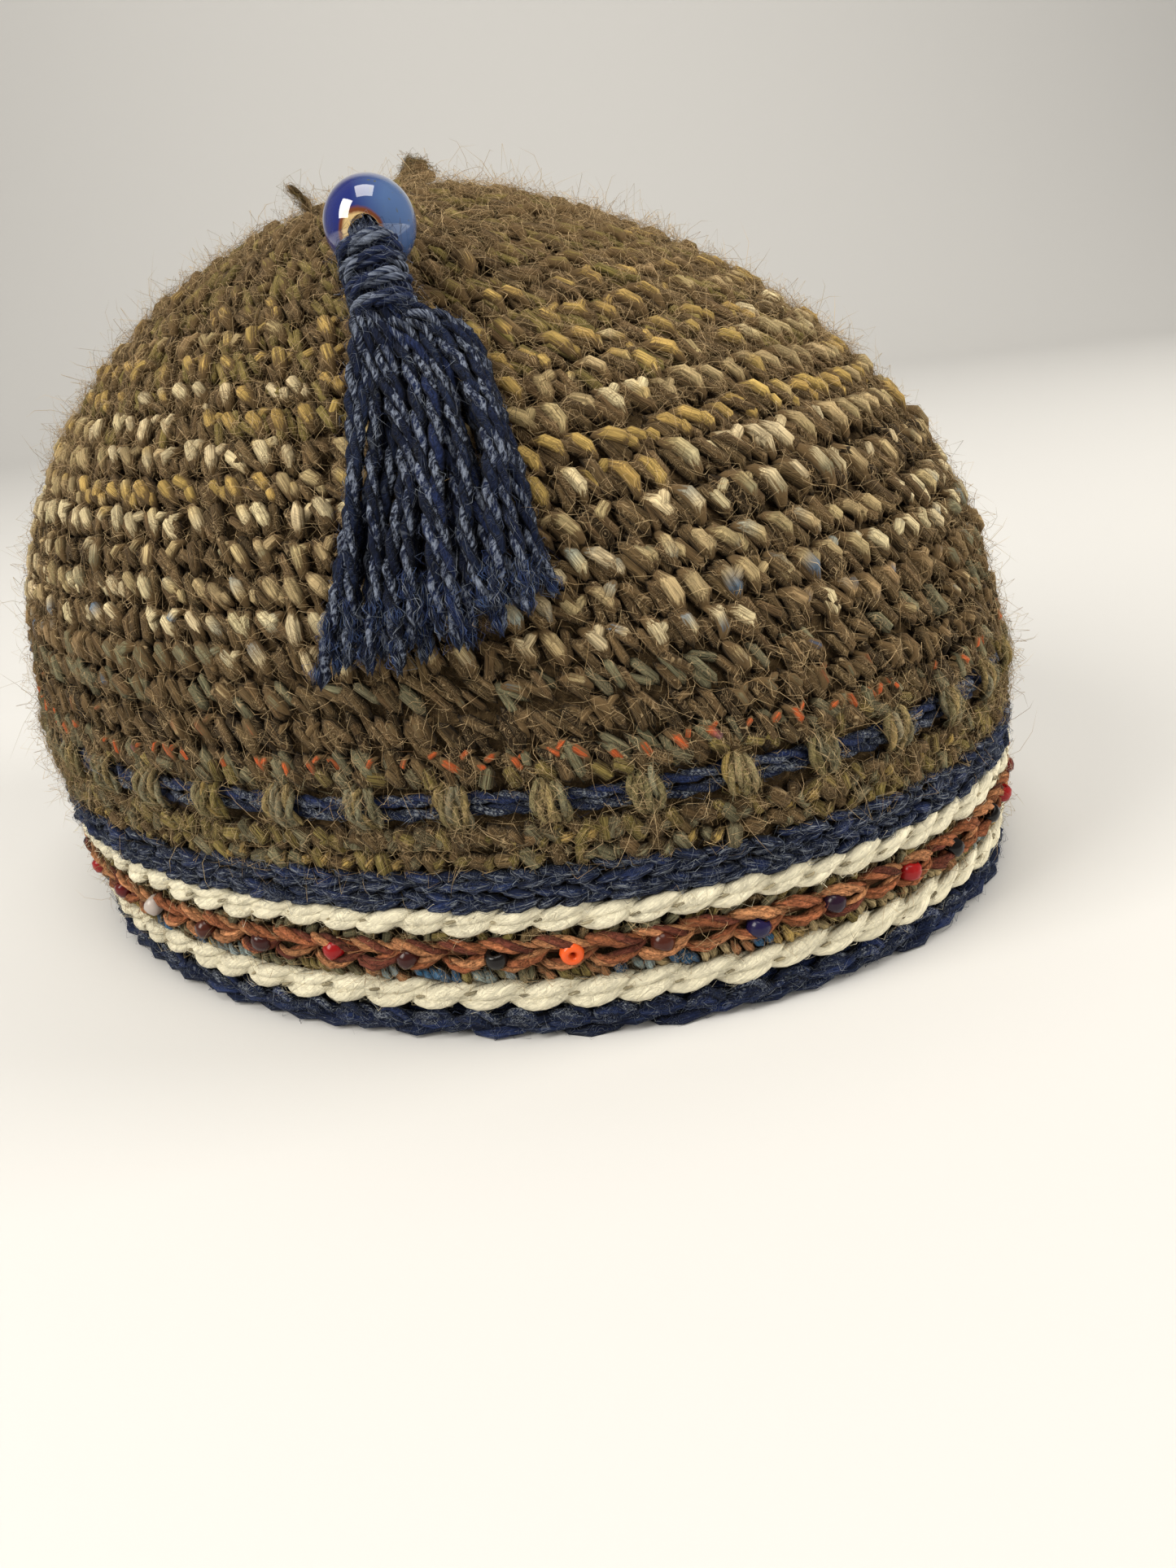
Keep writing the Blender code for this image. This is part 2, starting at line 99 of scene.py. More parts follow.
# Linear colours of the yarns
DARK_BROWN = (0.030, 0.019, 0.009)
BROWN = (0.108, 0.070, 0.033)
LIGHT_BROWN = (0.290, 0.198, 0.100)
TAN_HAIR = (0.470, 0.345, 0.190)
CREAM = (0.560, 0.465, 0.280)
PALE_TAN = (0.390, 0.300, 0.155)
GOLD = (0.410, 0.280, 0.090)
OLIVE = (0.200, 0.155, 0.050)
GREY_OLIVE = (0.150, 0.140, 0.084)
PALE_GREY = (0.260, 0.245, 0.165)
LIGHT_BLUE = (0.220, 0.275, 0.275)
BLUE = (0.030, 0.095, 0.185)
TERRACOTTA = (0.450, 0.090, 0.026)
NAVY = (0.0075, 0.012, 0.032)
DEEP_BLUE = (0.010, 0.017, 0.052)
NAVY_HAIR = (0.190, 0.215, 0.255)
PALE_NAVY = (0.250, 0.275, 0.310)
MID_NAVY = (0.165, 0.192, 0.255)
SLATE_BLUE = (0.075, 0.095, 0.150)
WHITE_WOOL = (0.720, 0.670, 0.510)
# Painted shade on the cream wool's strands, at their ends and sides
CREAM_SHADE = (0.300, 0.260, 0.170)
RUST = (0.230, 0.080, 0.036)
DARK_RUST = (0.095, 0.028, 0.018)
LIGHT_RUST = (0.320, 0.145, 0.066)

# A strand that lies in the wall has its points over this arc of its outer side, and is flat behind
OUTER_ARC = 3.9

SEED = 7
random = np.random.default_rng(SEED)


def width_share(rise, side):
    row = SIDES[side]
    narrowing = np.clip(1 - rise ** row["drop"], 0, 1) ** (1 / row["closing"])
    return narrowing * (1 + row["swell"] * np.sin(np.pi * rise))


def oval_points(rise, angle):
    """Points on the outside of the wall, before the hat is put on its place."""
    ends = np.where(np.sin(angle) > 0, width_share(rise, "back"), width_share(rise, "front"))
    x = HAT_BREADTH / 2 * width_share(rise, "side") * np.cos(angle)
    y = BACK_LEAN * rise ** LEAN_CURVE + HAT_LENGTH / 2 * ends * np.sin(angle)
    return np.stack([x, y, CROWN_HEIGHT * rise + 0 * x], axis=-1)


def running_lengths(points):
    steps = np.linalg.norm(np.diff(points, axis=0), axis=-1)
    return np.concatenate([[0.0], np.cumsum(steps)])


RIM_ANGLES = np.linspace(0, 2 * np.pi, 721)
RIM_LENGTHS = running_lengths(oval_points(np.zeros(721), RIM_ANGLES))
RISES = 1 - (1 - np.linspace(0, 1, 401)) ** 1.6
CLIMBS = running_lengths(oval_points(RISES, np.full(401, np.pi)))
TOP_CLIMB = CLIMBS[-1]
GIRTHS = np.array([running_lengths(oval_points(np.full(721, rise), RIM_ANGLES))[-1] for rise in RISES])

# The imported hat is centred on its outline: the knot on the top gives where the dome stands
knot_low, knot_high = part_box("crown_knot")
knot_middle = (np.array(knot_low) + np.array(knot_high)) / 2
HAT_PLACE = np.array([knot_middle[0], knot_middle[1] - BACK_LEAN, 0.0])


def wall_points(share, climb, lift):
    """Points that stand off the outside of the wall by lift, and the outward directions."""
    angle = np.interp(np.mod(share, 1.0) * RIM_LENGTHS[-1], RIM_LENGTHS, RIM_ANGLES)
    rise = np.clip(np.interp(climb, CLIMBS, RISES), 0.001, 0.998)
    step = 0.0005
    up = oval_points(rise + step, angle) - oval_points(rise - step, angle)
    around = oval_points(rise, angle + step) - oval_points(rise, angle - step)
    outward = unit(np.cross(around, up))
    return oval_points(rise, angle) + outward * np.asarray(lift)[..., None] + HAT_PLACE, outward


def lay(share, across, climb, lift):
    """Strand points from a share, a distance across from it, a climb and a lift."""
    girth = np.interp(climb, CLIMBS, GIRTHS)
    return wall_points(share + across / np.maximum(girth, 20 * MM), climb, lift)


def sloped(share, climb):
    """The climb of a round at a share: on the middle of the dome it rises towards the front."""
    t = np.clip((0.20 - np.abs(np.mod(share, 1.0) - 0.75)) / 0.15, 0, 1)
    most = np.interp(climb / MM, [58, 72, 84, 112, 130, 150], [0, 1.5, 5.0, 5.0, 3.5, 0]) * MM
    return climb + most * t * t * (3 - 2 * t)


def row_stretch(share, climb):
    """How much taller a round's stitches are where the rounds spread apart."""
    half = ROUND_PITCH / 2
    return (sloped(share, climb + half) - sloped(share, climb - half)) / ROUND_PITCH


def unit(vectors):
    return vectors / np.maximum(np.linalg.norm(vectors, axis=-1, keepdims=True), 1e-12)


def evenly(count, step=0.0):
    """Shares that are spread evenly round the hat."""
    return (np.arange(count) + step) / count


def smooth(controls, count):
    """Rows of points read evenly from smooth curves through rows of control points."""
    last = controls.shape[1] - 1
    place = np.linspace(0, last, count)
    k = np.minimum(place.astype(int), last - 1)
    t = (place - k)[None, :, None]
    first = controls[:, :1] * 2 - controls[:, 1:2]
    final = controls[:, -1:] * 2 - controls[:, -2:-1]
    padded = np.concatenate([first, controls, final], axis=1)
    p0, p1, p2, p3 = (padded[:, k + i] for i in range(4))
    curve = 2 * p1 + (p2 - p0) * t + (2 * p0 - 5 * p1 + 4 * p2 - p3) * t ** 2
    return (curve + (3 * p1 - p0 - 3 * p2 + p3) * t ** 3) / 2


def smooth_strands(controls, normals, count):
    return smooth(controls, count), unit(smooth(normals, count))


def strand_lengths(paths):
    steps = np.linalg.norm(np.diff(paths, axis=1), axis=-1)
    return np.concatenate([np.zeros((len(paths), 1)), np.cumsum(steps, axis=1)], axis=1)


def side_frames(paths, normals):
    """Directions along, beside and out of each strand at each of its points."""
    along = unit(np.gradient(paths, axis=1))
    beside = unit(np.cross(normals, along))
    return along, beside, np.cross(along, beside)


def plump(count, power):
    """How a strand with round ends swells from end to end."""
    return np.sin(np.linspace(0, np.pi, count)) ** power


# A stub is a place, its directions along, beside and out, and its tint, with three numbers for each
STUB_SIZE = 15


class Skein:
    """Closed strands that are joined into one piece, with a tint and a fibre direction.

    The tint's alpha says how far the paint's cover colour covers the strand there: another yarn's fibres,
    and on the mohair dark fibres and painted shade, on the cream painted shade. The stubs are
    the places on the strands from which loose hairs can grow.
    """

    def __init__(self):
        self.points, self.tints, self.fibres = [], [], []
        self.triangles, self.quads, self.stubs = [], [], []
        self.count = 0

    def add(self, paths, normals, widths, depths, tint, sides=6, twist=0.0, cover=0.0, flank_shade_and_cover=(0.0, 0.0),
            arc=2 * np.pi):
        """Strands along paths: pointed at both ends, and widths by depths half across.

        The flank shade and cover say how much painted shade darkens a strand at its sides, and how much more
        covered it is there.
        """
        strands, stations = paths.shape[:2]
        widths, depths, cover = (
            np.broadcast_to(np.asarray(value, float), (strands, stations))[..., None]
            for value in (widths, depths, cover)
        )
        along, beside, out = side_frames(paths, normals)
        beside, out = beside * widths, out * depths
        turn = np.linspace(0, 2 * np.pi, sides, endpoint=False)
        if arc < 2 * np.pi:
            turn = np.linspace((np.pi - arc) / 2, (np.pi + arc) / 2, sides)
        rings = (
            paths[:, 1:-1, None]
            + beside[:, 1:-1, None] * np.cos(turn)[:, None]
            + out[:, 1:-1, None] * np.sin(turn)[:, None]
        )
        lengths = strand_lengths(paths) / MM
        start = random.uniform(0, 900, (strands, 1))
        angles = turn + twist * lengths[:, 1:-1, None]
        radius = (widths + depths)[:, 1:-1] / (2 * MM)
        places = (lengths + start)[..., None]
        ring_fibres = np.stack(
            [places[:, 1:-1] + 0 * angles, radius * np.cos(angles), radius * np.sin(angles)], axis=-1
        )
        end_fibres = places * (1, 0, 0)
        tint = np.asarray(tint, float)
        if tint.ndim == 2:
            tint = tint[:, None]
        tint = np.concatenate([np.broadcast_to(tint, (strands, stations, 3)), cover], axis=-1)
        # Painted shade on each strand's sides, where it turns towards the wall, and more cover there
        low = np.clip(1 - np.sin(turn) / 0.9, 0, 1)[:, None]
        flank_shade, covered = flank_shade_and_cover
        ring_tints = tint[:, 1:-1, None] * (1 - low * (flank_shade, flank_shade, flank_shade, 0)) + low * (0, 0, 0, covered)
        points, fibres, tints = (
            np.concatenate([ends[:, :1], body.reshape(strands, -1, body.shape[-1]), ends[:, -1:]], axis=1)
            for ends, body in ((paths, rings), (end_fibres, ring_fibres), (tint, ring_tints))
        )
        self.join(points, fibres, tints, *strand_faces(stations - 2, sides))
        stubs = np.concatenate([paths, along, beside, out, tint[..., :3]], axis=-1)
        self.stubs.append(stubs[:, 1:-1].reshape(-1, STUB_SIZE))

    def join(self, points, fibres, tints, triangles, quads):
        """Add copies of one shape's faces, one for each row of points."""
        rows, size = points.shape[:2]
        shift = (self.count + np.arange(rows) * size)[:, None, None]
        self.triangles.append((triangles[None] + shift).reshape(-1, 3))
        self.quads.append((quads[None] + shift).reshape(-1, 4))
        self.points.append(points.reshape(-1, 3))
        self.fibres.append(fibres.reshape(-1, 3))
        self.tints.append(tints.reshape(-1, 4))
        self.count += rows * size

    def piece(self, name, slot, paint, replaced=()):
        points = np.concatenate(self.points)
        points[:, 2] = np.maximum(points[:, 2], 0.0)
        mesh = mesh_from_arrays(name, points, np.concatenate(self.triangles), np.concatenate(self.quads))
        add_vectors(mesh, "fibre", "FLOAT_VECTOR", np.concatenate(self.fibres))
        add_vectors(mesh, "tint", "FLOAT_COLOR", np.concatenate(self.tints))
        place_piece(name, mesh, paint, replaced)


def hair_ways(stubs, count, clear, spread=None):
    """Random roots over the outer side of strands, and each hair's ways along, across and out.

    The spread says how far the hairs turn from their strands; without one they turn any way.
    """
    stubs = np.concatenate(stubs)
    row = stubs[random.integers(0, len(stubs), count)]
    centre, along, beside, out, tint = (row[:, i:i + 3] for i in range(0, STUB_SIZE, 3))
    angle = random.uniform(0.18, 0.82, (count, 1)) * np.pi
    spoke = beside * np.cos(angle) + out * np.sin(angle)
    outward = unit(spoke)
    if spread is None:
        turn = random.uniform(0, 2 * np.pi, (count, 1))
    else:
        turn = random.normal(0, spread, (count, 1))
    flat = along * np.cos(turn) + unit(np.cross(outward, along)) * np.sin(turn)
    root = centre + 0.94 * spoke + clear * outward
    return tint, *(ways[:, None] for ways in (root, flat, np.cross(outward, flat), outward))


def add_hairs(skein, paths, outward, half_width, tint, own, colours):
    count, stations = paths.shape[:2]
    swell = np.interp(np.linspace(0, 1, stations), [0, 0.3, 1], [0.6, 1, 0.5])
    widths = half_width * random.uniform(0.7, 1.3, (count, 1)) * swell
    tint = tint * own * random.uniform(0.7, 1.4, (count, 1)) + pick(colours, count) * (1 - own)
    skein.add(paths, np.broadcast_to(outward, paths.shape), widths, widths, tint, 3)


def lay_hairs(skein, stubs, count, length, rise, colours, own, half_width, spread, clear=0.1 * MM):
    """Hairs that lie in arcs over the stitches, more or less along them."""
    tint, root, flat, across, outward = hair_ways(stubs, count, clear, spread)
    reach = length * random.uniform(0.45, 1.4, (count, 1, 1))
    bend = random.normal(0, 0.30, (count, 1, 1))
    height = np.abs(random.normal(0, 1, (count, 1, 1))) * rise
    t = np.linspace(-0.5, 0.5, 3)[:, None]
    arc = 1 - 4 * t ** 2
    way = flat * t + across * bend * arc - outward * 0.08 * (1 - arc)
    paths = root + reach * way + outward * height * arc
    add_hairs(skein, paths, outward, half_width, tint, own, colours)


def stand_hairs(skein, stubs, count, length, rise, colours, own, half_width):
    """Curly hairs that leave the stitches and make the haze round the hat."""
    tint, root, flat, across, outward = hair_ways(stubs, count, 0.0)
    reach = length * random.uniform(0.4, 1.4, (count, 1, 1))
    curl = random.normal(0, 0.75, (count, 1, 1))
    lift = np.abs(random.normal(0, 1, (count, 1, 1))) * rise
    t = np.linspace(0, 1, 4)[:, None]
    paths = root + reach * (
        flat * (t - 0.35 * np.abs(curl) * t ** 2) + across * curl * t ** 1.8
        + outward * lift * (1.5 * t - 0.9 * t ** 2)
    )
    add_hairs(skein, paths, outward, half_width, tint, own, colours)


def net_quads(rows, around):
    """Quads between rows of points that each close on themselves."""
    j = np.arange(around)
    k = (j + 1) % around
    low = np.arange(rows - 1)[:, None] * around
    return np.stack([low + j, low + k, low + around + k, low + around + j], axis=-1).reshape(-1, 4)


def strand_faces(rings, sides):
    """Triangles and quads of a strand: a point, rings of points, and a last point."""
    j = np.arange(sides)
    k = (j + 1) % sides
    low, last = 1 + (rings - 1) * sides, 1 + rings * sides
    starts = np.stack([0 * j, 1 + k, 1 + j], axis=-1)
    ends = np.stack([low + j, low + k, last + 0 * j], axis=-1)
    return np.concatenate([starts, ends]), 1 + net_quads(rings, sides)


def mesh_from_arrays(name, points, triangles, quads):
    mesh = bpy.data.meshes.new(name)
    mesh.vertices.add(len(points))
    mesh.vertices.foreach_set("co", points.astype(np.float32).ravel())
    mesh.loops.add(triangles.size + quads.size)
    corners = np.concatenate([triangles.ravel(), quads.ravel()]).astype(np.int32)
    mesh.loops.foreach_set("vertex_index", corners)
    starts = np.concatenate([np.arange(len(triangles)) * 3, triangles.size + np.arange(len(quads)) * 4])
    mesh.polygons.add(len(starts))
    mesh.polygons.foreach_set("loop_start", starts.astype(np.int32))
    mesh.update(calc_edges=True)
    mesh.shade_smooth()
    return mesh


def add_vectors(mesh, name, kind, values):
    attribute = mesh.attributes.new(name, kind, "POINT")
    field = "color" if kind == "FLOAT_COLOR" else "vector"
    attribute.data.foreach_set(field, values.astype(np.float32).ravel())


def place_piece(name, mesh, paint, replaced=()):
    piece = bpy.data.objects.new(name, mesh)
    bpy.context.scene.collection.objects.link(piece)
    mesh.materials.append(paint)
    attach(piece, "root")
    if replaced:
        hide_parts(*replaced)


class Wire:
    """A shader socket that takes part in plain arithmetic."""

    def __init__(self, paint, socket):
        self.paint = paint
        self.socket = socket

    def reckon(self, operation, other, flipped=False):
        first, second = (other, self) if flipped else (self, other)
        return self.paint.node("Math", {"operation": operation}, {0: first, 1: second})["Value"]

    def __add__(self, other):
        return self.reckon("ADD", other)

    def __mul__(self, other):
        return self.reckon("MULTIPLY", other)

    def __sub__(self, other):
        return self.reckon("SUBTRACT", other)

    def __rsub__(self, other):
        return self.reckon("SUBTRACT", other, True)

    __radd__, __rmul__ = __add__, __mul__

    def clipped(self, low, high):
        """0 at low and below, 1 at high and above."""
        inputs = {"Value": self, "From Min": low, "From Max": high}
        return self.paint.node("MapRange", {"clamp": True}, inputs)["Result"]


class Paint:
    """A material whose nodes are added by name."""

    def __init__(self, name, roughness, **fixed):
        self.material = bpy.data.materials.new(name)
        self.material.use_nodes = True
        self.tree = self.material.node_tree
        self.shader = self.tree.nodes["Principled BSDF"]
        self.shader.inputs["Roughness"].default_value = roughness
        for socket, value in fixed.items():
            self.shader.inputs[socket.replace("_", " ")].default_value = value

    def feed(self, socket, value):
        if isinstance(value, Wire):
            self.tree.links.new(value.socket, socket)
        else:
            socket.default_value = value

    def node(self, kind, settings=None, inputs=None):
        made = self.tree.nodes.new("ShaderNode" + kind)
        for name, value in (settings or {}).items():
            setattr(made, name, value)
        for name, value in (inputs or {}).items():
            self.feed(made.inputs[name], value)
        return {output.name: Wire(self, output) for output in made.outputs}

    def attribute(self, name, output):
        return self.node("Attribute", {"attribute_name": name})[output]

    def place(self):
        return self.node("TexCoord")["Object"]

    def vector(self, operation, first, second):
        made = self.node("VectorMath", {"operation": operation}, {0: first, 1: second})
        return made["Value" if operation == "DOT_PRODUCT" else "Vector"]

    def blend(self, factor, first, second, kind="MIX"):
        """A Mix node on colours, whose sockets come after those for numbers and vectors."""
        made = self.tree.nodes.new("ShaderNodeMix")
        made.data_type = "RGBA"
        made.blend_type = kind
        for index, value in ((0, factor), (6, first), (7, second)):
            self.feed(made.inputs[index], value)
        return Wire(self, made.outputs[2])

    def noise(self, vector, scale, detail=2.0, roughness=0.5, distortion=0.0):
        inputs = {"Vector": vector, "Scale": scale, "Detail": detail, "Roughness": roughness,
                  "Distortion": distortion}
        return self.node("TexNoise", {}, inputs)["Fac"]

    def relief(self, height, strength, distance):
        inputs = {"Strength": strength, "Distance": distance, "Height": height}
        self.feed(self.shader.inputs["Normal"], self.node("Bump", {}, inputs)["Normal"])

    def colour(self, value):
        self.feed(self.shader.inputs["Base Color"], value)
        return self.material


# Wool hardly shines: little gloss and a faint sheen
WOOL = {"Specular_IOR_Level": 0.08, "Sheen_Weight": 0.02, "Sheen_Roughness": 0.6}


def solid(colour):
    return (*colour, 1.0)


def hair_lines(paint, lines, low):
    """Fine wavy lines like hairs that lie on the wool: 0 between them and 1 on them."""
    scale = 300.0
    place = paint.place()
    field = paint.noise(place, scale, 1.0, 0.5, 1.4)
    wave = (field * lines).reckon("PINGPONG", 0.5)
    clumps = paint.noise(place, scale * 0.9, 2.0, 0.6)
    return wave.clipped(low, 0.5) * clumps.clipped(0.36, 0.62)


def yarn_paint(name, over, loose, shades, strength, fineness, cover_fineness, wander, loose_amount,
               lines=15.0):
    """Spun wool: fine streaks along the fibres, the cover colour where it covers it (another yarn's
    fibres, or on the mohair and the cream painted shade), and loose hairs that lie over all of it.
    """
    paint = Paint(name, 0.95, **WOOL)
    fibre = paint.attribute("fibre", "Vector")
    tint = paint.node("Attribute", {"attribute_name": "tint"})
    streaks = paint.noise(paint.vector("MULTIPLY", fibre, (0.22, fineness, fineness)), 1.0, 3.0, 0.62, wander)
    lumps = paint.noise(paint.vector("MULTIPLY", fibre, (0.4, 0.9, 0.9)), 1.0, 2.0, 0.5)
    places = paint.vector("MULTIPLY", fibre, (0.24, cover_fineness, cover_fineness))
    covering = paint.noise(paint.vector("ADD", places, (7, 3, 5)), 1.0, 3.0, 0.62, wander)
    mask = (covering + tint["Alpha"]).clipped(0.88, 1.06)
    shade = streaks.clipped(0.33, 0.67) * (shades[1] - shades[0]) + shades[0]
    tone = paint.node("CombineColor", {}, {"Red": shade, "Green": shade, "Blue": shade})["Color"]
    colour = paint.blend(1.0, tint["Color"], tone, "MULTIPLY")
    colour = paint.blend(mask, colour, solid(over))
    hairs = hair_lines(paint, lines, 0.32)
    paint.relief(streaks * 0.8 + lumps * 0.3 + hairs * 0.4, strength, 0.3 * MM)
    return paint.colour(paint.blend(hairs * loose_amount, colour, solid(loose)))


def pick(colours, count):
    """Random colours from a list, one for each strand, none quite like another."""
    chosen = np.array(colours)[random.integers(0, len(colours), count)]
    return chosen * random.uniform(0.72, 1.3, (count, 1)) * random.uniform(0.98, 1.02, (count, 3))


def runs(colours, count, length):
    """Colours in runs of about length stitches, as a variegated yarn gives them."""
    knots = random.integers(0, len(colours), count // length + 3)
    place = np.arange(count) / length + random.normal(0, 0.35, count)
    chosen = np.array(colours)[knots[np.clip(np.rint(place), 0, len(knots) - 1).astype(int)]]
    return chosen * random.uniform(0.78, 1.2, (count, 1)) * random.uniform(0.98, 1.02, (count, 3))


def marled(tints, others, often, stations):
    """Tints for each station of the strands, with another colour at one end of some of them."""
    count = len(tints)
    t = np.linspace(0, 1, stations)[None, :, None]
    t = np.where(random.random((count, 1, 1)) < 0.5, t, 1 - t)
    start = random.uniform(0.35, 0.75, (count, 1, 1))
    mix = np.clip((t - start) * 5, 0, 1) * (random.random((count, 1, 1)) < often) * 0.85
    return tints[:, None] * (1 - mix) + pick(others, count)[:, None] * mix


# The mohair where the variegated yarn shows best
PLAIN = (BROWN, BROWN, BROWN)

# The dome's colours by rows of stitches, each row up to a climb in mm: the mohair, the variegated
# yarn and its flecks, how often that yarn shows on the long and the short leg of a stitch, how far
# the mohair covers it, and how thick it is
DOME_COLOURS = (
    (49, (BROWN, DARK_BROWN, GREY_OLIVE), (TERRACOTTA, TERRACOTTA, TERRACOTTA, RUST), (BROWN, BLUE, RUST),
     0.62, 0.62, 0.32, 0.58),
    (54, (BROWN, DARK_BROWN, BROWN), (GREY_OLIVE, BROWN, LIGHT_BROWN, RUST), (BROWN, PALE_TAN),
     0.40, 0.30, 0.45, 0.66),
    (60, (BROWN, BROWN, GREY_OLIVE), (GREY_OLIVE, LIGHT_BROWN, PALE_TAN, SLATE_BLUE),
     (BLUE, BLUE, LIGHT_BLUE), 0.45, 0.35, 0.40, 0.72),
    (65, PLAIN, (PALE_TAN, GREY_OLIVE, CREAM, LIGHT_BROWN), (BLUE, BLUE, LIGHT_BLUE), 0.70, 0.55, 0.30, 1.0),
    (70, PLAIN, (CREAM, PALE_TAN, CREAM, GREY_OLIVE), (LIGHT_BLUE, BLUE, LIGHT_BLUE), 0.88, 0.70, 0.22, 1.0),
    (75, PLAIN, (CREAM, CREAM, CREAM, PALE_TAN), (LIGHT_BLUE, GREY_OLIVE), 0.92, 0.75, 0.18, 1.0),
    (80, (BROWN, BROWN, DARK_BROWN), (CREAM, PALE_TAN, PALE_TAN), (GREY_OLIVE, LIGHT_BLUE, GREY_OLIVE),
     0.65, 0.60, 0.30, 1.0),
    (86, PLAIN, (CREAM, CREAM, PALE_TAN, GOLD), (GOLD, PALE_TAN), 0.92, 0.70, 0.16, 1.0),
    (91, PLAIN, (CREAM, PALE_TAN, GOLD, GOLD), (GOLD, PALE_TAN), 0.92, 0.70, 0.20, 1.0),
    (96, PLAIN, (CREAM, CREAM, PALE_TAN, GOLD), (GOLD, PALE_TAN), 0.94, 0.70, 0.16, 1.0),
    (107, (BROWN, BROWN, OLIVE), (PALE_TAN, GOLD, CREAM, GOLD), (GOLD, CREAM), 0.86, 0.65, 0.24, 1.0),
    (118, (BROWN, OLIVE, BROWN), (PALE_TAN, GOLD, LIGHT_BROWN, GOLD), (GOLD, OLIVE), 0.75, 0.50, 0.34, 1.0),
    (129, (BROWN, OLIVE, BROWN), (LIGHT_BROWN, OLIVE, LIGHT_BROWN, GOLD), (OLIVE, GOLD),
     0.55, 0.40, 0.42, 1.0),
    (145, (BROWN, BROWN, OLIVE), (OLIVE, LIGHT_BROWN, BROWN), (OLIVE, BROWN), 0.45, 0.30, 0.48, 1.0),
    (999, (BROWN, BROWN, OLIVE), (LIGHT_BROWN, OLIVE), (BROWN, OLIVE), 0.30, 0.25, 0.50, 1.0),
)


def shape(at, run, bow, curl, half):
    """A strand's form in mm: where its middle lies, how far it runs across and up, how far its
    middle bows out and curls to the side, and its size half across.
    """
    return {"at": at, "run": run, "bow": bow, "curl": curl, "half": half}


# The strands of one stitch, and the kinds of rounds that they make by turns
STITCH = {
    "tuft": shape((-0.4, -0.1, -1.85), (3.8, -5.8), 1.4, 0.7, (0.86, 0.90)),
    "long": shape((-0.5, 0.1, -1.60), (3.7, -5.3), 1.7, 1.3, (1.06, 0.95)),
    "short": shape((1.7, 1.1, -1.8), (2.7, 2.9), 1.4, 0.7, (0.86, 0.8)),
    "slash_tuft": shape((-0.2, 0.0, -1.9), (4.4, -5.0), 1.4, 0.5, (0.86, 0.90)),
    "slash": shape((0.0, 0.2, -1.65), (4.6, -4.2), 1.6, 1.0, (1.04, 0.9)),
    "drop": shape((2.1, -0.5, -1.9), (1.8, -3.0), 1.3, 0.3, (0.85, 0.75)),
}
ROUND_KINDS = (("tuft", "long", "short"), ("tuft", "long", "short"), ("slash_tuft", "slash", "drop"))

# The strands of the small rounds, the olive rounds, the posts, the edging and the navy band
SMALL_STRANDS = {
    "upright": shape((0, 0, -1.7), (1.9, -3.6), 1.4, 0.2, (0.78, 0.7)),
    "ground": shape((0, 0, -2.2), (1.8, 3.0), 1.2, 0.2, (0.80, 0.9)),
    "olive_down": shape((0, 0, -2.0), (2.6, -3.9), 1.4, 0.3, (1.15, 1.1)),
    "olive_up": shape((0, -0.3, -1.8), (2.4, 2.4), 1.3, 0.3, (0.85, 0.9)),
    "over_post": shape((0, 0, -2.0), (2.6, -3.6), 1.5, 0.3, (1.2, 1.1)),
    "edge": shape((0, 0, -1.4), (11, 0.6), 1.4, 0.2, (1.05, 1.4)),
    "band_down": shape((0, 0.77, -1.5), (6.4, -1.4), 1.0, 0.2, (0.95, 1.05)),
    "band_up": shape((0, -0.77, -1.5), (6.4, 1.4), 1.0, 0.2, (0.95, 1.05)),
}

# How a plump strand swells from end to end, for each number of stations
LENS_PROFILES = {
    4: ((-0.5, -0.24, 0.24, 0.5), (0.0, 1.0, 1.0, 0.0)),
    5: ((-0.5, -0.32, 0.0, 0.32, 0.5), (0.0, 0.76, 1.06, 0.76, 0.0)),
    6: ((-0.5, -0.38, -0.14, 0.14, 0.38, 0.5), (0.0, 0.62, 1.03, 1.03, 0.62, 0.0)),
}


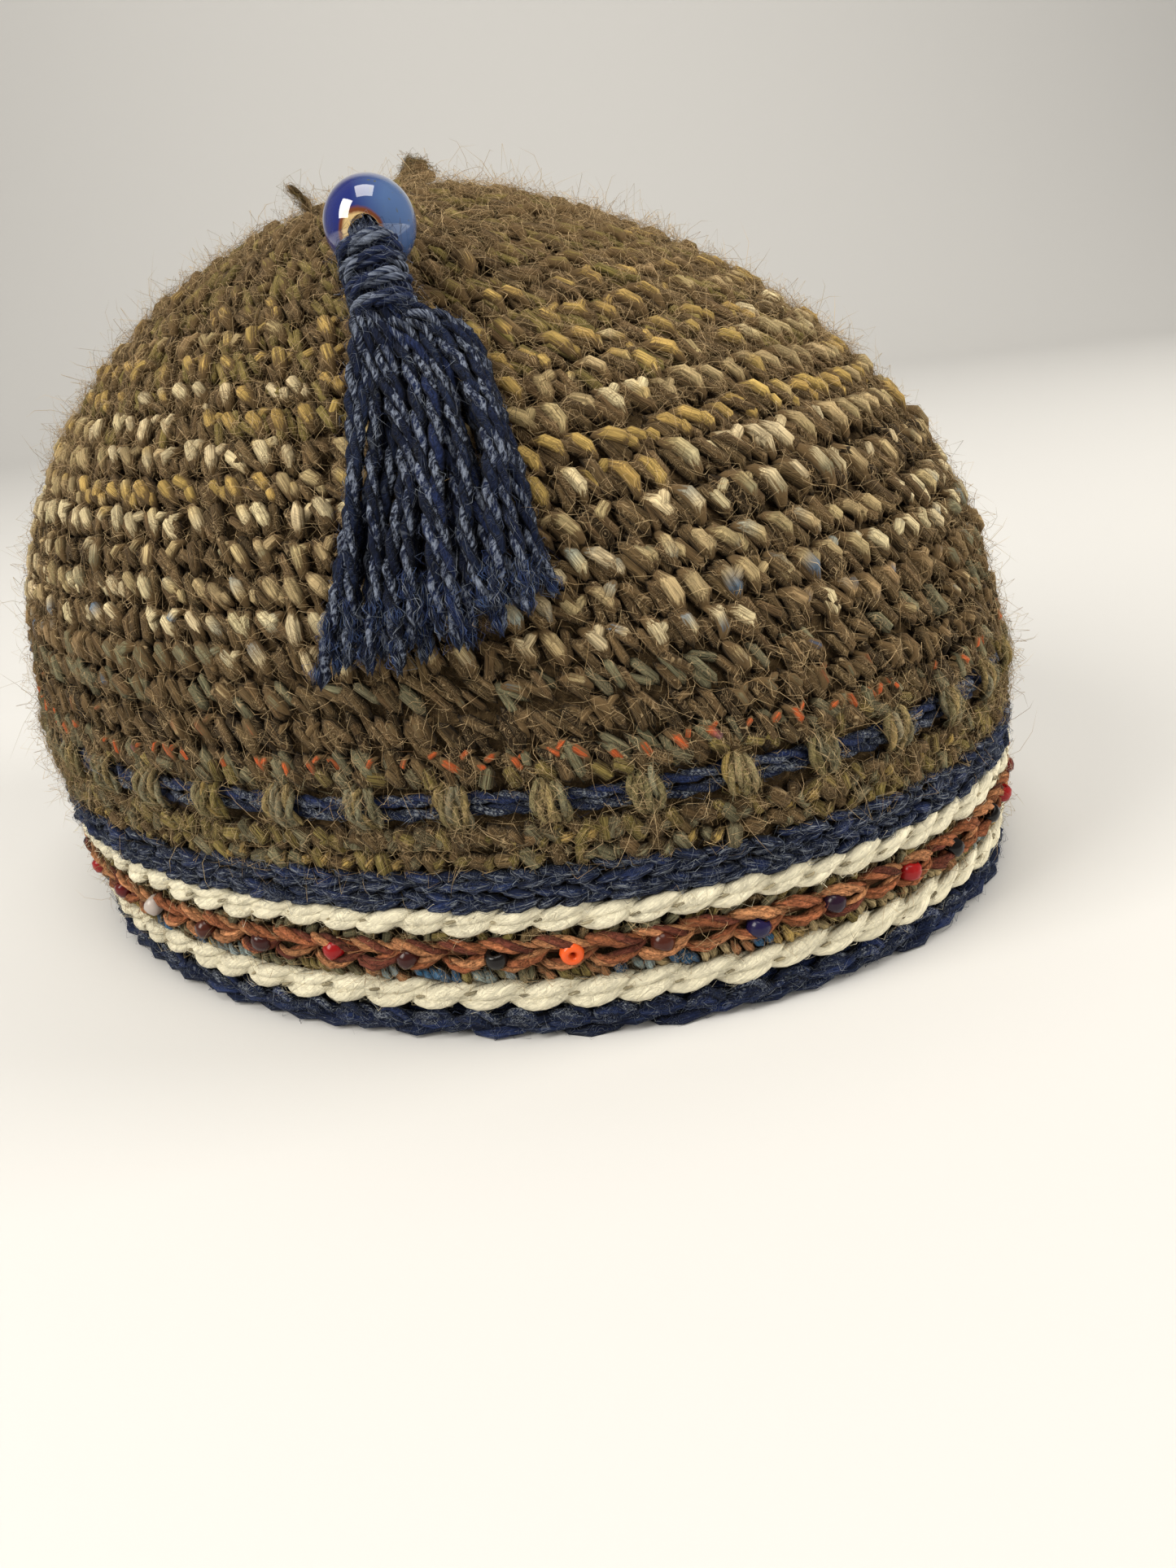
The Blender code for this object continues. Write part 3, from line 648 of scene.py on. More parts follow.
def lens(skein, share, climb, strand, tint, cover, jitter, sides, stations, end_shade=0.45, tall=1.0, end_cover=0.45,
         flank_shade_and_cover=(0.5, 0.28)):
    """Plump strands of one form, one at each share, pointed at both ends, which sink into the wall.

    They turn from their form by jitter, and are tall times as high. Another yarn covers them by
    cover, and by end_cover more at their ends; on the mohair and the cream that cover colour is
    painted shade. Their ends keep the share end_shade of the colour, a painted shade where they
    sink in, and painted shade darkens their sides.
    """
    count = len(share)
    turn = random.normal(0, jitter, count)
    size = random.uniform(0.88, 1.14, count)
    run_across, run_up = strand["run"]
    dx = (run_across * np.cos(turn) - run_up * np.sin(turn)) * size * MM
    dz = (run_across * np.sin(turn) + run_up * np.cos(turn)) * size * tall * MM
    middle = (np.array(strand["at"]) + random.normal(0, 0.3, (count, 3))) * MM
    t, profile = np.array(LENS_PROFILES[stations])
    t = t + random.normal(0, 0.05, (count, 1)) * (1 - (2 * t) ** 2)
    arch = (1 - (2 * t) ** 2) * MM
    length = np.hypot(dx, dz)
    curl = strand["curl"] * random.uniform(0.4, 1.4, (count, 1)) * arch
    across = middle[:, :1] + dx[:, None] * t - (dz / length)[:, None] * curl
    up = middle[:, 1:2] + dz[:, None] * t + (dx / length)[:, None] * curl
    lift = middle[:, 2:] + strand["bow"] * (arch - 0.5 * MM)
    paths, normals = lay(share[:, None], across, np.reshape(climb, (-1, 1)) + up, lift)
    sizes = profile * (size * random.uniform(0.92, 1.1, count) * np.sqrt(tall))[:, None] * MM
    width, depth = strand["half"]
    tint = tint[:, None] if tint.ndim == 2 else tint
    tint = tint * (1 - (1 - end_shade) * (2 * t) ** 2)[..., None]
    covers = cover + end_cover * (2 * t) ** 2
    skein.add(paths, normals, width * sizes, depth * sizes, tint, sides, 0.0, covers, flank_shade_and_cover, OUTER_ARC)


def moved_aside(strand, aside):
    """The same strand moved to its own side by so many mm, and a little lower."""
    (x, y, z), (run_across, run_up) = strand["at"], strand["run"]
    length = math.hypot(run_across, run_up)
    place = (x - aside * run_up / length, y + aside * run_across / length, z - 0.3 * abs(aside))
    return {**strand, "at": place}


def dome_stitches():
    """Every round of stitches above the posts: mohair in two pieces, and the variegated yarn."""
    low, high, spun = Skein(), Skein(), Skein()
    for index, climb in enumerate(np.arange(FIRST_ROUND, TOP_CLIMB - 5 * MM, ROUND_PITCH)):
        girth = np.interp(climb, CLIMBS, GIRTHS)
        count = max(6, round(girth / STITCH_PITCH))
        share = evenly(count, 0.5 * (index % 2)) + random.normal(0, 0.3 * MM, count) / girth
        height = sloped(share, climb) + random.normal(0, 0.3 * MM, count)
        tall = row_stretch(share, climb)
        base, accents, flecks, often_long, often_short, cover, thick = next(
            row[1:] for row in DOME_COLOURS if climb <= row[0] * MM
        )
        tuft, long, short = (STITCH[name] for name in ROUND_KINDS[index % 3])
        mohair = high if climb > HIGH_ROUNDS else low
        # Painted shade where the strands sink in: the mohair's ends keep 0.3 of their colour and the
        # variegated yarn's 0.35
        for aside in (-1.25, 0.05, 1.35):
            tints = pick(base, count)
            lens(mohair, share, height, moved_aside(tuft, aside), tints, 0.0, 0.24, 4, 4, 0.3, tall)
        colours = runs(accents, count, 5)
        for strand, often in ((long, often_long), (short, often_short)):
            shown = random.random(count) < often
            tints = marled(colours[shown], flecks, 0.55, 6)
            run, half = np.array(strand["run"]) * (0.4 + 0.6 * thick), np.array(strand["half"]) * thick
            strand = {**strand, "run": run, "half": half}
            lens(spun, share[shown], height[shown], strand, tints, cover, 0.22, 6, 6, 0.35, tall[shown], 0.85)
    return low, high, spun


def dome_backing():
    """The wall behind the stitches, with soft ridges, inside and out."""
    around = 130
    heights = (*np.linspace(5.5, 36.5, 8), *np.linspace(37.5, 42.5, 3), *np.linspace(43.5, 168, 26))
    share, climb = np.meshgrid(evenly(around), np.array(heights) * MM)
    stitch = np.sin(share * 2 * np.pi * 60) * np.sin(climb / ROUND_PITCH * np.pi)
    depth = np.interp(climb / MM, [0, 30.5, 31.5, 36.5, 37.5, 42.5, 43.5, 200],
                      [-3.2, -3.2, -3.0, -3.0, -3.8, -3.8, -3.2, -3.0])
    outside = wall_points(share, climb, (depth + 0.35 * stitch) * MM)[0]
    share, climb = np.meshgrid(evenly(around), np.linspace(5.5, 160, 38) * MM)
    ridge = 0.45 * np.sin(climb / ROUND_PITCH * 2 * np.pi)
    ridge = ridge + 0.3 * np.sin(share * 2 * np.pi * 110 + np.floor(climb / ROUND_PITCH) * 2.1)
    inside = wall_points(share, climb, ridge * MM - WALL)[0]
    rows = np.concatenate([inside[::-1], outside])
    size = len(rows) * around
    ceiling = HAT_PLACE + (0.0, BACK_LEAN, CROWN_HEIGHT - WALL)
    summit = (*ceiling[:2], wall_points(0.0, TOP_CLIMB, -3.0 * MM)[0][2])
    points = np.concatenate([rows.reshape(-1, 3), [summit, ceiling]])
    j = np.arange(around)
    k = (j + 1) % around
    triangles = np.concatenate([
        np.stack([size - around + j, size - around + k, size + 0 * j], axis=-1),
        np.stack([k, j, size + 1 + 0 * j], axis=-1),
    ])
    mesh = mesh_from_arrays("dome_wall", points, triangles, net_quads(len(rows), around))
    paint = Paint("backing_wool", 0.95, **WOOL)
    tufts = paint.noise(paint.place(), 900.0, 4.0, 0.65)
    fibres = paint.noise(paint.vector("MULTIPLY", paint.place(), (1.0, 1.0, 3.0)), 500.0, 3.0, 0.6)
    wool = paint.blend(tufts.clipped(0.35, 0.7), solid(DARK_BROWN), solid(BROWN))
    hairs = hair_lines(paint, 15.0, 0.26)
    paint.relief(tufts * 0.6 + fibres * 0.6 + hairs * 0.5, 0.9, 0.6 * MM)
    wool = paint.colour(paint.blend(hairs * 0.6, wool, solid(LIGHT_BROWN)))
    place_piece("dome_wall", mesh, wool, ("crown",))


# The ways of a chain link's two legs: along, up and out, in shares of its pitch, height and thickness
CREAM_LEGS = (
    ((-0.14, 0.12, 0.44, 0.78, 1.10, 1.36), (-0.20, -0.03, 0.14, 0.26, 0.30, 0.24),
     (-0.20, 0.12, 0.30, 0.28, 0.06, -0.26)),
    ((-0.30, -0.04, 0.28, 0.62, 0.94, 1.22), (-0.22, -0.29, -0.27, -0.15, 0.01, 0.14),
     (-0.24, 0.08, 0.30, 0.28, 0.10, -0.20)),
)
RUST_LEGS = (
    ((-0.24, -0.02, 0.30, 0.66, 1.00, 1.25), (0.12, 0.30, 0.35, 0.24, 0.09, 0.00),
     (-0.60, 0.10, 0.50, 0.50, 0.20, -0.60)),
    ((-0.24, 0.00, 0.32, 0.68, 1.02, 1.25), (-0.14, -0.33, -0.38, -0.24, -0.05, 0.04),
     (-0.60, 0.10, 0.50, 0.50, 0.20, -0.60)),
)
# A strand of painted shade that lies in the slot between each cream link's legs, and its colour
SLOT = shape((0, 0, 0), (2.4, 0.7), 0.35, 0.0, (0.24, 0.34))
SLOT_SHADE = (0.22, 0.19, 0.12)


def chain(skein, climb, pitch, height, thickness, lift, tint, leg, wave=0.12, plied=False):
    """A crochet chain laid on the wall: links of two legs, each link coming out of the last.

    A core fills it behind the links; on the plied chain it is darkened with painted shade. A chain that isn't
    plied has strands of painted shade in the slots between its legs.
    """
    girth = np.interp(climb, CLIMBS, GIRTHS)
    count = round(girth / pitch)
    pitch = girth / count
    share = evenly(count)
    # The plied chain's core is sunk and darkened with painted shade, as it lies in the gaps behind the plies
    sink, width, depth, shade = (0.30, 0.24, 0.3, 0.3) if plied else (0.02, 0.37, 0.42, 1.0)
    core, outward = wall_points(np.linspace(0, 1, 241), climb, lift - sink * thickness)
    skein.add(core[None], outward[None], width * height, depth * thickness, tint(1) * shade, 6)
    stations = 8 if plied else 9
    # Painted shade on a cream leg, most at its ends where it goes under its neighbours
    covers = np.interp(np.linspace(0, 1, stations), [0, 0.12, 0.3, 0.75, 1], [0.44, 0.28, 0.14, 0.12, 0.38])
    for way in RUST_LEGS if plied else CREAM_LEGS:
        along, rise, out = np.array(way)
        jitter = random.normal(0, wave, (count, 1)) * height * 0.3
        across = along * pitch + random.normal(0, wave, (count, 1)) * pitch * 0.4
        lifts = lift + out * thickness + random.normal(0, 0.12 * MM, (count, 1))
        points, normals = lay(share[:, None], across, climb + rise * height + jitter, lifts)
        paths, normals = smooth_strands(points, normals, stations)
        size = random.uniform(0.88, 1.1, (count, 1))
        swell = plump(stations, 0.75)
        width, depth = leg * height * size * swell, 0.40 * thickness * size * swell
        if plied:
            twist_strand(skein, paths, normals, width, 0.8, tint, (0.26, 0.26, 0.26), 5)
        else:
            skein.add(paths, normals, width, depth, tint(count), 7, 0.35, covers, (0.50, 0.14), OUTER_ARC)
    if not plied:
        shades = np.array([SLOT_SHADE]) * random.uniform(0.6, 1.6, (count, 1))
        slot = {**SLOT, "at": (0.1 * pitch / MM, 0.0, (lift + 0.42 * thickness) / MM)}
        lens(skein, share, climb, slot, shades, 0.2, 0.12, 5, 4, 0.9, end_cover=0.3, flank_shade_and_cover=(0.0, 0.3))


def twist_strand(skein, paths, normals, radius, turns_per_cm, tint, covers=(0.3, 0.3), sides=6,
                 flank_shade_and_cover=(0.55, 0.0)):
    """Strands spun of plies that wind round each other, one ply for each cover."""
    # Each ply's sides are darkened with painted shade by the first of flank_shade_and_cover
    along, beside, out = side_frames(paths, normals)
    phase = strand_lengths(paths) / (10 * MM) * turns_per_cm * 2 * np.pi
    phase = phase + random.uniform(0, 2 * np.pi, (len(paths), 1))
    shift, thick = 0.5 * radius, 0.62 * radius
    for ply, cover in enumerate(covers):
        angle = phase + ply * 2 * np.pi / len(covers)
        wound = paths + beside * (shift * np.cos(angle))[..., None] + out * (shift * np.sin(angle))[..., None]
        skein.add(wound, normals, thick, thick, tint(len(paths)), sides, turns_per_cm, cover, flank_shade_and_cover)


def navy_tint(count):
    return pick((NAVY, NAVY, DEEP_BLUE, NAVY), count)


def white_tint(count):
    return np.array(WHITE_WOOL) * random.uniform(0.93, 1.05, (count, 1))


def rust_tint(count):
    return pick((RUST, LIGHT_RUST, RUST, LIGHT_RUST, DARK_RUST), count)


def make_chains(white, rust):
    """The cream chain above the edging, the one under the navy band, and the rust one between."""
    lower, upper, beaded = Skein(), Skein(), Skein()
    chain(lower, LOWER_CHAIN, 8.2 * MM, 5.4 * MM, 3.0 * MM, -1.7 * MM, white_tint, 0.28)
    lower.piece("lower_cream_chain", "cream_yarn", white, ("cream_chain_lower",))
    chain(upper, UPPER_CHAIN, 7.0 * MM, 4.2 * MM, 2.6 * MM, -1.7 * MM, white_tint, 0.31, 0.14)
    upper.piece("upper_cream_chain", "cream_yarn", white, ("cream_chain_upper",))
    chain(beaded, RUST_CHAIN, 7.6 * MM, 5.6 * MM, 2.4 * MM, -1.5 * MM, rust_tint, 0.20, plied=True)
    beaded.piece("rust_beaded_chain", "rust_yarn", rust, ("rust_chain",))
    return lower, upper, beaded


def make_band(navy):
    """The navy band: two rows of V stitches."""
    skein = Skein()
    count = 140
    for climb, step in zip(NAVY_ROWS, (0.0, 0.5)):
        for leg in ("band_down", "band_up"):
            # Painted shade darkens the strands' sides fully, where the pale marl covers them less
            lens(skein, evenly(count, step), climb, SMALL_STRANDS[leg], navy_tint(count), 0.35, 0.08, 6, 5,
                 0.4, end_cover=0.0, flank_shade_and_cover=(1.0, -0.4))
    skein.piece("navy_band_rows", "navy_yarn", navy, ("navy_band",))
    return skein


def make_small_rounds(paint):
    """The little upright stitches between the chains, and the olive rounds above the band."""
    skein = Skein()
    uprights, grounds, olives = 330, 250, 150
    small_colours = (LIGHT_BLUE, GOLD, OLIVE, BLUE, GREY_OLIVE, LIGHT_RUST, PALE_TAN)
    lens(skein, evenly(uprights), SMALL_ROUND, SMALL_STRANDS["upright"], runs(small_colours, uprights, 2),
         0.26, 0.35, 5, 5)
    lens(skein, evenly(grounds), GROUND_ROUND, SMALL_STRANDS["ground"],
         pick((OLIVE, GREY_OLIVE, BROWN, GREY_OLIVE), grounds), 0.2, 0.5, 5, 4)
    for climb in OLIVE_ROWS:
        share = evenly(olives, random.random())
        lens(skein, share, climb, SMALL_STRANDS["olive_down"],
             pick((BROWN, BROWN, GREY_OLIVE, OLIVE), olives), 0.2, 0.5, 5, 4)
        lens(skein, share + 0.5 / olives, climb, SMALL_STRANDS["olive_up"],
             runs((OLIVE, GREY_OLIVE, OLIVE, GOLD, GREY_OLIVE), olives, 2) * 0.8, 0.35, 0.4, 5, 5)
    skein.piece("small_rounds", "mohair", paint)
    return skein


# The strands of one post, in mm: the points of each, across from the post's middle, up and out
POST_STRANDS = (
    ((-0.9, 4.3, -2.6), (-2.0, 1.9, -0.7), (-1.6, -1.2, -0.5), (0.3, -3.9, -2.5)),
    ((0.9, 4.4, -2.6), (1.3, 2.0, -0.6), (2.0, -1.0, -0.5), (1.9, -4.0, -2.5)),
    ((-0.1, 4.4, -2.8), (-0.4, 1.8, -0.4), (0.3, -1.3, -0.2), (1.1, -3.9, -2.6)),
)


def make_posts(paint, navy):
    """Upright posts across the groove, and the navy yarn that shows between them."""
    skein, woven = Skein(), Skein()
    share = FIRST_POST_SHARE + evenly(POSTS)
    colours = pick((GREY_OLIVE, GREY_OLIVE, OLIVE, GREY_OLIVE), POSTS)

    def post_tint(count):
        return 0.55 * colours + 0.45 * pick((PALE_GREY, OLIVE, GREY_OLIVE, GOLD), count)

    for points in POST_STRANDS:
        across, up, out = (np.array(points).T[:, None] + random.normal(0, 0.22, (3, POSTS, 4))) * MM
        paths, normals = smooth_strands(*lay(share[:, None], across, GROOVE + up, out), 9)
        twist_strand(skein, paths, normals, 0.98 * MM * plump(9, 0.35), 1.1, post_tint, (0.14, 0.34), 5)
    for level in (4.6, -4.8):
        for step in range(5):
            tint = pick((BROWN, BROWN, OLIVE, GREY_OLIVE), POSTS)
            lens(skein, share + 0.2 * step / POSTS, GROOVE + level * MM, SMALL_STRANDS["over_post"], tint,
                 0.3, 0.5, 5, 4)
    skein.piece("upright_posts", "mohair", paint)
    turn = np.linspace(0, 1, 261)
    between = np.abs(np.sin((turn - FIRST_POST_SHARE) * np.pi * POSTS))
    for row in (-0.5, 0.5):
        climb = GROOVE + row * 1.9 * MM + 0.3 * MM * np.sin(turn * 26 * np.pi + row)
        points, normals = wall_points(turn, climb, (1.1 * between - 3.3) * MM)
        twist_strand(woven, points[None], normals[None], 1.05 * MM, 1.1, navy_tint, (0.24, 0.38))
    woven.piece("woven_navy_yarn", "navy_yarn", navy, ("woven_yarn",))
    return skein, woven


def make_edging(navy):
    """The navy edging: flat strands on the rim, and a hill of yarn under each link."""
    skein = Skein()
    count = 76
    share = evenly(count)
    for step, climb in ((0.0, 1.1 * MM), (0.5, 2.5 * MM)):
        # Painted shade darkens the strands' sides almost fully, where the pale marl covers them less
        lens(skein, share + step / count, climb, SMALL_STRANDS["edge"], navy_tint(count), 0.27, 0.03, 6, 5,
             0.6, end_cover=0.0, flank_shade_and_cover=(0.95, -0.25))
    across = np.array([-0.62, -0.35, 0.0, 0.35, 0.62]) * 7.4 * MM
    for size, lift in ((1.0, -0.9), (0.62, -0.7)):
        climb = np.array([1.6, 3.2, 4.6, 3.2, 1.6]) * MM * (0.55 + 0.45 * size)
        out = (np.array([-1.2, -0.2, 0.3, -0.2, -1.2]) + lift) * MM
        paths, normals = smooth_strands(*lay(share[:, None] + 0.5 / count, across * size, climb, out), 9)
        twist_strand(skein, paths, normals, 1.25 * MM * plump(9, 0.5), 1.0, navy_tint, (0.22, 0.37), 5)
    paths, normals = smooth_strands(*lay(share[:, None], across * 0.6, 2.6 * MM, -3.9 * MM), 5)
    skein.add(paths, normals, 2.4 * MM, 1.6 * MM, navy_tint(count), 6)
    skein.piece("navy_edging", "navy_yarn", navy, ("rim_edging",))
    return skein


def bead_frame():
    """Centre of the bead and the direction in which its bore comes out above the tassel."""
    centre, outward = wall_points(BEAD_SHARE, BEAD_CLIMB, BEAD_DIAMETER / 2 + BEAD_LIFT)
    here, below = (wall_points(BEAD_SHARE, climb, 0.0)[0] for climb in (BEAD_CLIMB, BEAD_CLIMB - 1 * MM))
    return centre, unit(unit(below - here) * math.cos(BEAD_TILT) + outward * math.sin(BEAD_TILT))


def make_bead():
    """The drilled glass bead: a fine sphere whose poles are opened and joined by the bore."""
    centre, axis = bead_frame()
    bpy.ops.object.select_all(action="DESELECT")
    bpy.ops.mesh.primitive_uv_sphere_add(segments=64, ring_count=40, radius=BEAD_DIAMETER / 2)
    bead = bpy.context.object
    bead.name = "blue_glass_bead"
    mesh = bead.data
    bpy.ops.object.mode_set(mode="EDIT")
    bpy.ops.mesh.select_all(action="DESELECT")
    bpy.ops.object.mode_set(mode="OBJECT")
    for face in mesh.polygons:
        face.select = math.hypot(face.center.x, face.center.y) < BORE_DIAMETER / 2
    bpy.ops.object.mode_set(mode="EDIT")
    bpy.ops.mesh.delete(type="FACE")
    bpy.ops.mesh.select_mode(type="EDGE")
    bpy.ops.mesh.select_all(action="DESELECT")
    bpy.ops.mesh.select_non_manifold()
    bpy.ops.mesh.bridge_edge_loops()
    bpy.ops.mesh.select_all(action="SELECT")
    bpy.ops.mesh.normals_make_consistent(inside=False)
    bpy.ops.object.mode_set(mode="OBJECT")
    bpy.ops.object.shade_smooth_by_angle(angle=math.radians(40))
    turn = Vector(axis).to_track_quat("Z", "Y").to_matrix().to_4x4()
    turn.translation = Vector(centre)
    mesh.transform(turn)
    mesh.materials.append(glass_paint(centre, axis))
    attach(bead, "root")
    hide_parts("glass_bead")


# Glass colours: cobalt, two paler blues of painted light, the amber ring and the specks
COBALT = (0.004, 0.012, 0.130)
PAINTED_LIGHT_COBALT = (0.050, 0.100, 0.235)
PAINTED_UNDERLIGHT_COBALT = (0.030, 0.070, 0.180)
DARK_AMBER = (0.130, 0.032, 0.006)
PALE_AMBER = (0.560, 0.400, 0.180)
GLASS_SPECK = (0.070, 0.080, 0.040)


def glass_paint(centre, axis):
    """Cobalt glass with painted light that pales it to one side and underneath, with an amber ring round the
    bore's mouth.
    """
    paint = Paint("cobalt_glass", 0.04, IOR=1.55, Coat_Weight=1.0, Coat_Roughness=0.02)
    from_centre = paint.vector("SUBTRACT", paint.place(), tuple(centre))

    def along(*direction):
        """How far a point of the glass lies along a direction: 1 on the surface that faces it."""
        direction = unit(np.array(direction)) / (BEAD_DIAMETER / 2)
        return paint.vector("DOT_PRODUCT", from_centre, tuple(direction))

    swirl = (paint.noise(from_centre, 130.0) - 0.5) * 0.5
    mouth = along(*unit(axis + (-0.05, 0.08, -0.05))) + (paint.noise(from_centre, 420.0) - 0.5) * 0.08
    specks = paint.noise(from_centre, 900.0, 1.0).clipped(0.66, 0.70)
    body = solid(COBALT)
    # Painted light pales the glass towards one side and underneath; the amber ring and the specks are the
    # glass's own colours
    for amount, colour in (
        ((along(0.1, -1.0, 0.15) + swirl).clipped(0.1, 0.75), PAINTED_LIGHT_COBALT),
        ((along(0.0, 0.0, -1.0) + swirl).clipped(0.3, 0.9), PAINTED_UNDERLIGHT_COBALT),
        (mouth.clipped(0.855, 0.885), DARK_AMBER),
        (mouth.clipped(0.905, 0.93), PALE_AMBER),
        (specks * along(0.2, -0.75, 0.6).clipped(0.55, 0.8), GLASS_SPECK),
    ):
        body = paint.blend(amount, body, solid(colour))
    return paint.colour(body)


# The tassel's fan, read from its left to its right: the shares of its shoulder, middle and tips, and
# the climbs of its shoulder and tips in mm
TASSEL_FAN = (
    (0.5430, 0.5505, 0.5590, 0.5710, 0.5837),
    (0.5386, 0.5495, 0.5610, 0.5740, 0.5877),
    (0.5263, 0.5405, 0.5560, 0.5715, 0.5885),
    (101.0, 101.5, 102.5, 104.5, 107.0),
    (60.4, 61.8, 62.9, 65.0, 70.5),
)
TASSEL_MIDDLE = 90 * MM


def make_tassel(navy, hair):
    """Two-ply strands that fan out from a neck wound with the same yarn."""
    centre, axis = bead_frame()
    top_climb = BEAD_CLIMB - BEAD_DIAMETER / 2 - NECK_LENGTH
    foot_share = BEAD_SHARE + NECK_SWAY / RIM_LENGTHS[-1]
    foot, outward = wall_points(foot_share, top_climb, NECK_DIAMETER / 2 + NECK_CLEARANCE)
    top = centre + axis * BEAD_DIAMETER / 2
    count, stations = TASSEL_STRANDS, 46
    place = evenly(count, 0.5)
    layer = (np.arange(count) * 2) % 3
    shoulder, middle, tip, shoulder_climb, tip_climb = (
        np.interp(place, np.linspace(0, 1, len(row)), row) for row in TASSEL_FAN
    )
    shoulder_climb = shoulder_climb * MM
    tip_climb = tip_climb * MM + random.normal(0, 1.3 * MM, count)
    shares = np.stack([shoulder, middle, (middle + tip) / 2, tip], axis=1)
    shares[:, 1:] += random.normal(0, 0.0016, (count, 3))
    middle_climb = TASSEL_MIDDLE + 0 * place
    climbs = np.stack([shoulder_climb, middle_climb, (middle_climb + tip_climb) / 2, tip_climb], axis=1)
    lift = (1.5 + 2.0 * layer)[:, None] * MM + random.normal(0, 0.35 * MM, (count, 4))
    lift[:, 0] += 1.4 * MM
    points, normals = wall_points(shares, climbs, lift)
    right, left = (wall_points(share, top_climb, 0.0)[0] for share in (0.57, 0.54))
    start = NECK_DIAMETER * 0.36 * (2 * place - 1)[:, None]
    root = foot + unit(right - left) * start + outward * ((layer - 1) * 2.2 * MM)[:, None]
    high = top + unit(right - left) * (start * 0.4) + outward * ((layer - 1) * 1.0 * MM)[:, None]
    controls = np.concatenate([high[:, None], (root + high)[:, None] / 2, root[:, None], points], axis=1)
    normals = np.concatenate([np.broadcast_to(outward, (count, 3, 3)), normals], axis=1)
    paths, normals = smooth_strands(controls, normals, stations)
    wave = np.linspace(0, 1, stations) * random.uniform(14, 24, (count, 1)) + random.uniform(0, 6, (count, 1))
    side = unit(np.cross(normals, np.gradient(paths, axis=1)))
    paths = paths + side * (np.sin(wave) * 0.35 * MM)[..., None]
    swell = np.clip(np.linspace(0, 1, stations) * 12, 0.5, 1)
    swell[-4:] = (0.97, 1.0, 1.0, 0.7)
    skein, hairs = Skein(), Skein()
    radius = 1.16 * MM * swell * random.uniform(0.86, 1.12, (count, 1))
    # Painted shade darkens the plies' sides, for the dark gaps between the strands
    twist_strand(skein, paths, normals, radius, -1.3, lambda count: 0.6 * navy_tint(count), (0.06, 0.43),
                 flank_shade_and_cover=(0.8, -0.12))
    tips = [skein.stubs[0].reshape(count, -1, STUB_SIZE)[:, -4:].reshape(-1, STUB_SIZE)]
    wind_neck(skein, top, foot, outward)
    skein.piece("navy_tassel", "navy_yarn", navy, ("tassel",))
    lying = (SLATE_BLUE, DEEP_BLUE, NAVY_HAIR, DEEP_BLUE)
    frayed = (NAVY_HAIR, (0.050, 0.085, 0.200), (0.030, 0.050, 0.140))
    lay_hairs(hairs, skein.stubs, 2600, 4.0 * MM, 0.2 * MM, lying, 0.4, 0.038 * MM, 0.25)
    lay_hairs(hairs, skein.stubs, 900, 3.6 * MM, 1.0 * MM, lying, 0.1, 0.034 * MM, 1.2)
    lay_hairs(hairs, tips, 1700, 3.2 * MM, 0.4 * MM, frayed, 0.3, 0.055 * MM, 0.35)
    hairs.piece("tassel_hairs", "navy_yarn", hair)


def wind_neck(skein, top, foot, outward):
    """The yarn wound round the tassel's neck."""
    along = unit(foot - top)
    beside = unit(np.cross(outward, along))
    turns = 7.3
    t = np.linspace(0, 1, 190)[:, None]
    angle = t * turns * 2 * np.pi
    place = 0.16 + 0.80 * t + 0.04 * np.sin(angle * 0.5 + 1)
    radius = (NECK_DIAMETER / 2 - 0.7 * MM) * np.interp(place, [0, 0.3, 1], [0.75, 1.0, 0.96])
    spoke = beside * np.cos(angle) + np.cross(along, beside) * np.sin(angle)
    path = top + (foot - top) * place + spoke * radius
    twist_strand(skein, path[None], spoke[None], 0.95 * MM, -0.9, navy_tint, (0.34, 0.46))


# The loose tail of yarn beside the nub on the top
TAIL_SHARE = 0.4282
TAIL_CLIMB = 150 * MM


def make_cord_and_knot(navy, brown):
    """The yarn behind the bead, the nub on the top, and the loose tail beside it."""
    cord, knot = Skein(), Skein()
    centre, axis = bead_frame()
    end = wall_points(BEAD_SHARE, BEAD_CLIMB + BEAD_DIAMETER / 2 + 4.5 * MM, 0.8 * MM)[0]
    far = centre - axis * BEAD_DIAMETER * 0.6
    near = centre + axis * BEAD_DIAMETER * 0.45
    path = smooth(np.array([near, centre, far, (far + end) / 2 - axis * 0.8 * MM, end])[None], 24)
    upwards = np.array([0.0, 0.0, 1.0])
    twist_strand(cord, path, np.broadcast_to(upwards, path.shape), 1.4 * MM, -1.2, navy_tint)
    cord.piece("bead_yarn", "navy_yarn", navy, ("bead_cord",))
    turn = np.linspace(0, 2 * np.pi * 2.5, 40)
    reach = np.linspace(1.9, 0.30, 40) * 1.8 * MM
    coil = np.stack([reach * np.cos(turn), reach * np.sin(turn), turn * 0.24 * MM - 1.6 * MM], axis=-1)
    path = (np.array([*knot_middle[:2], knot_low.z]) + coil)[None]
    knot.add(path, np.broadcast_to(upwards, path.shape), 1.1 * MM, 1.1 * MM, pick((BROWN,), 1), 8)
    root, outward = wall_points(TAIL_SHARE, TAIL_CLIMB, -0.5 * MM)
    tip = root + np.array([-0.5, 0.35, 0.8]) * 5.5 * MM
    tail = smooth(np.array([root, root + outward * 2 * MM, tip])[None], 12)
    twist_strand(knot, tail, np.broadcast_to([0.0, 1.0, 0.0], tail.shape), 0.6 * MM, 2.0,
                 lambda count: pick((BROWN, LIGHT_BROWN), count))
    knot.piece("closing_knot", "mohair", brown, ("crown_knot",))
    return knot


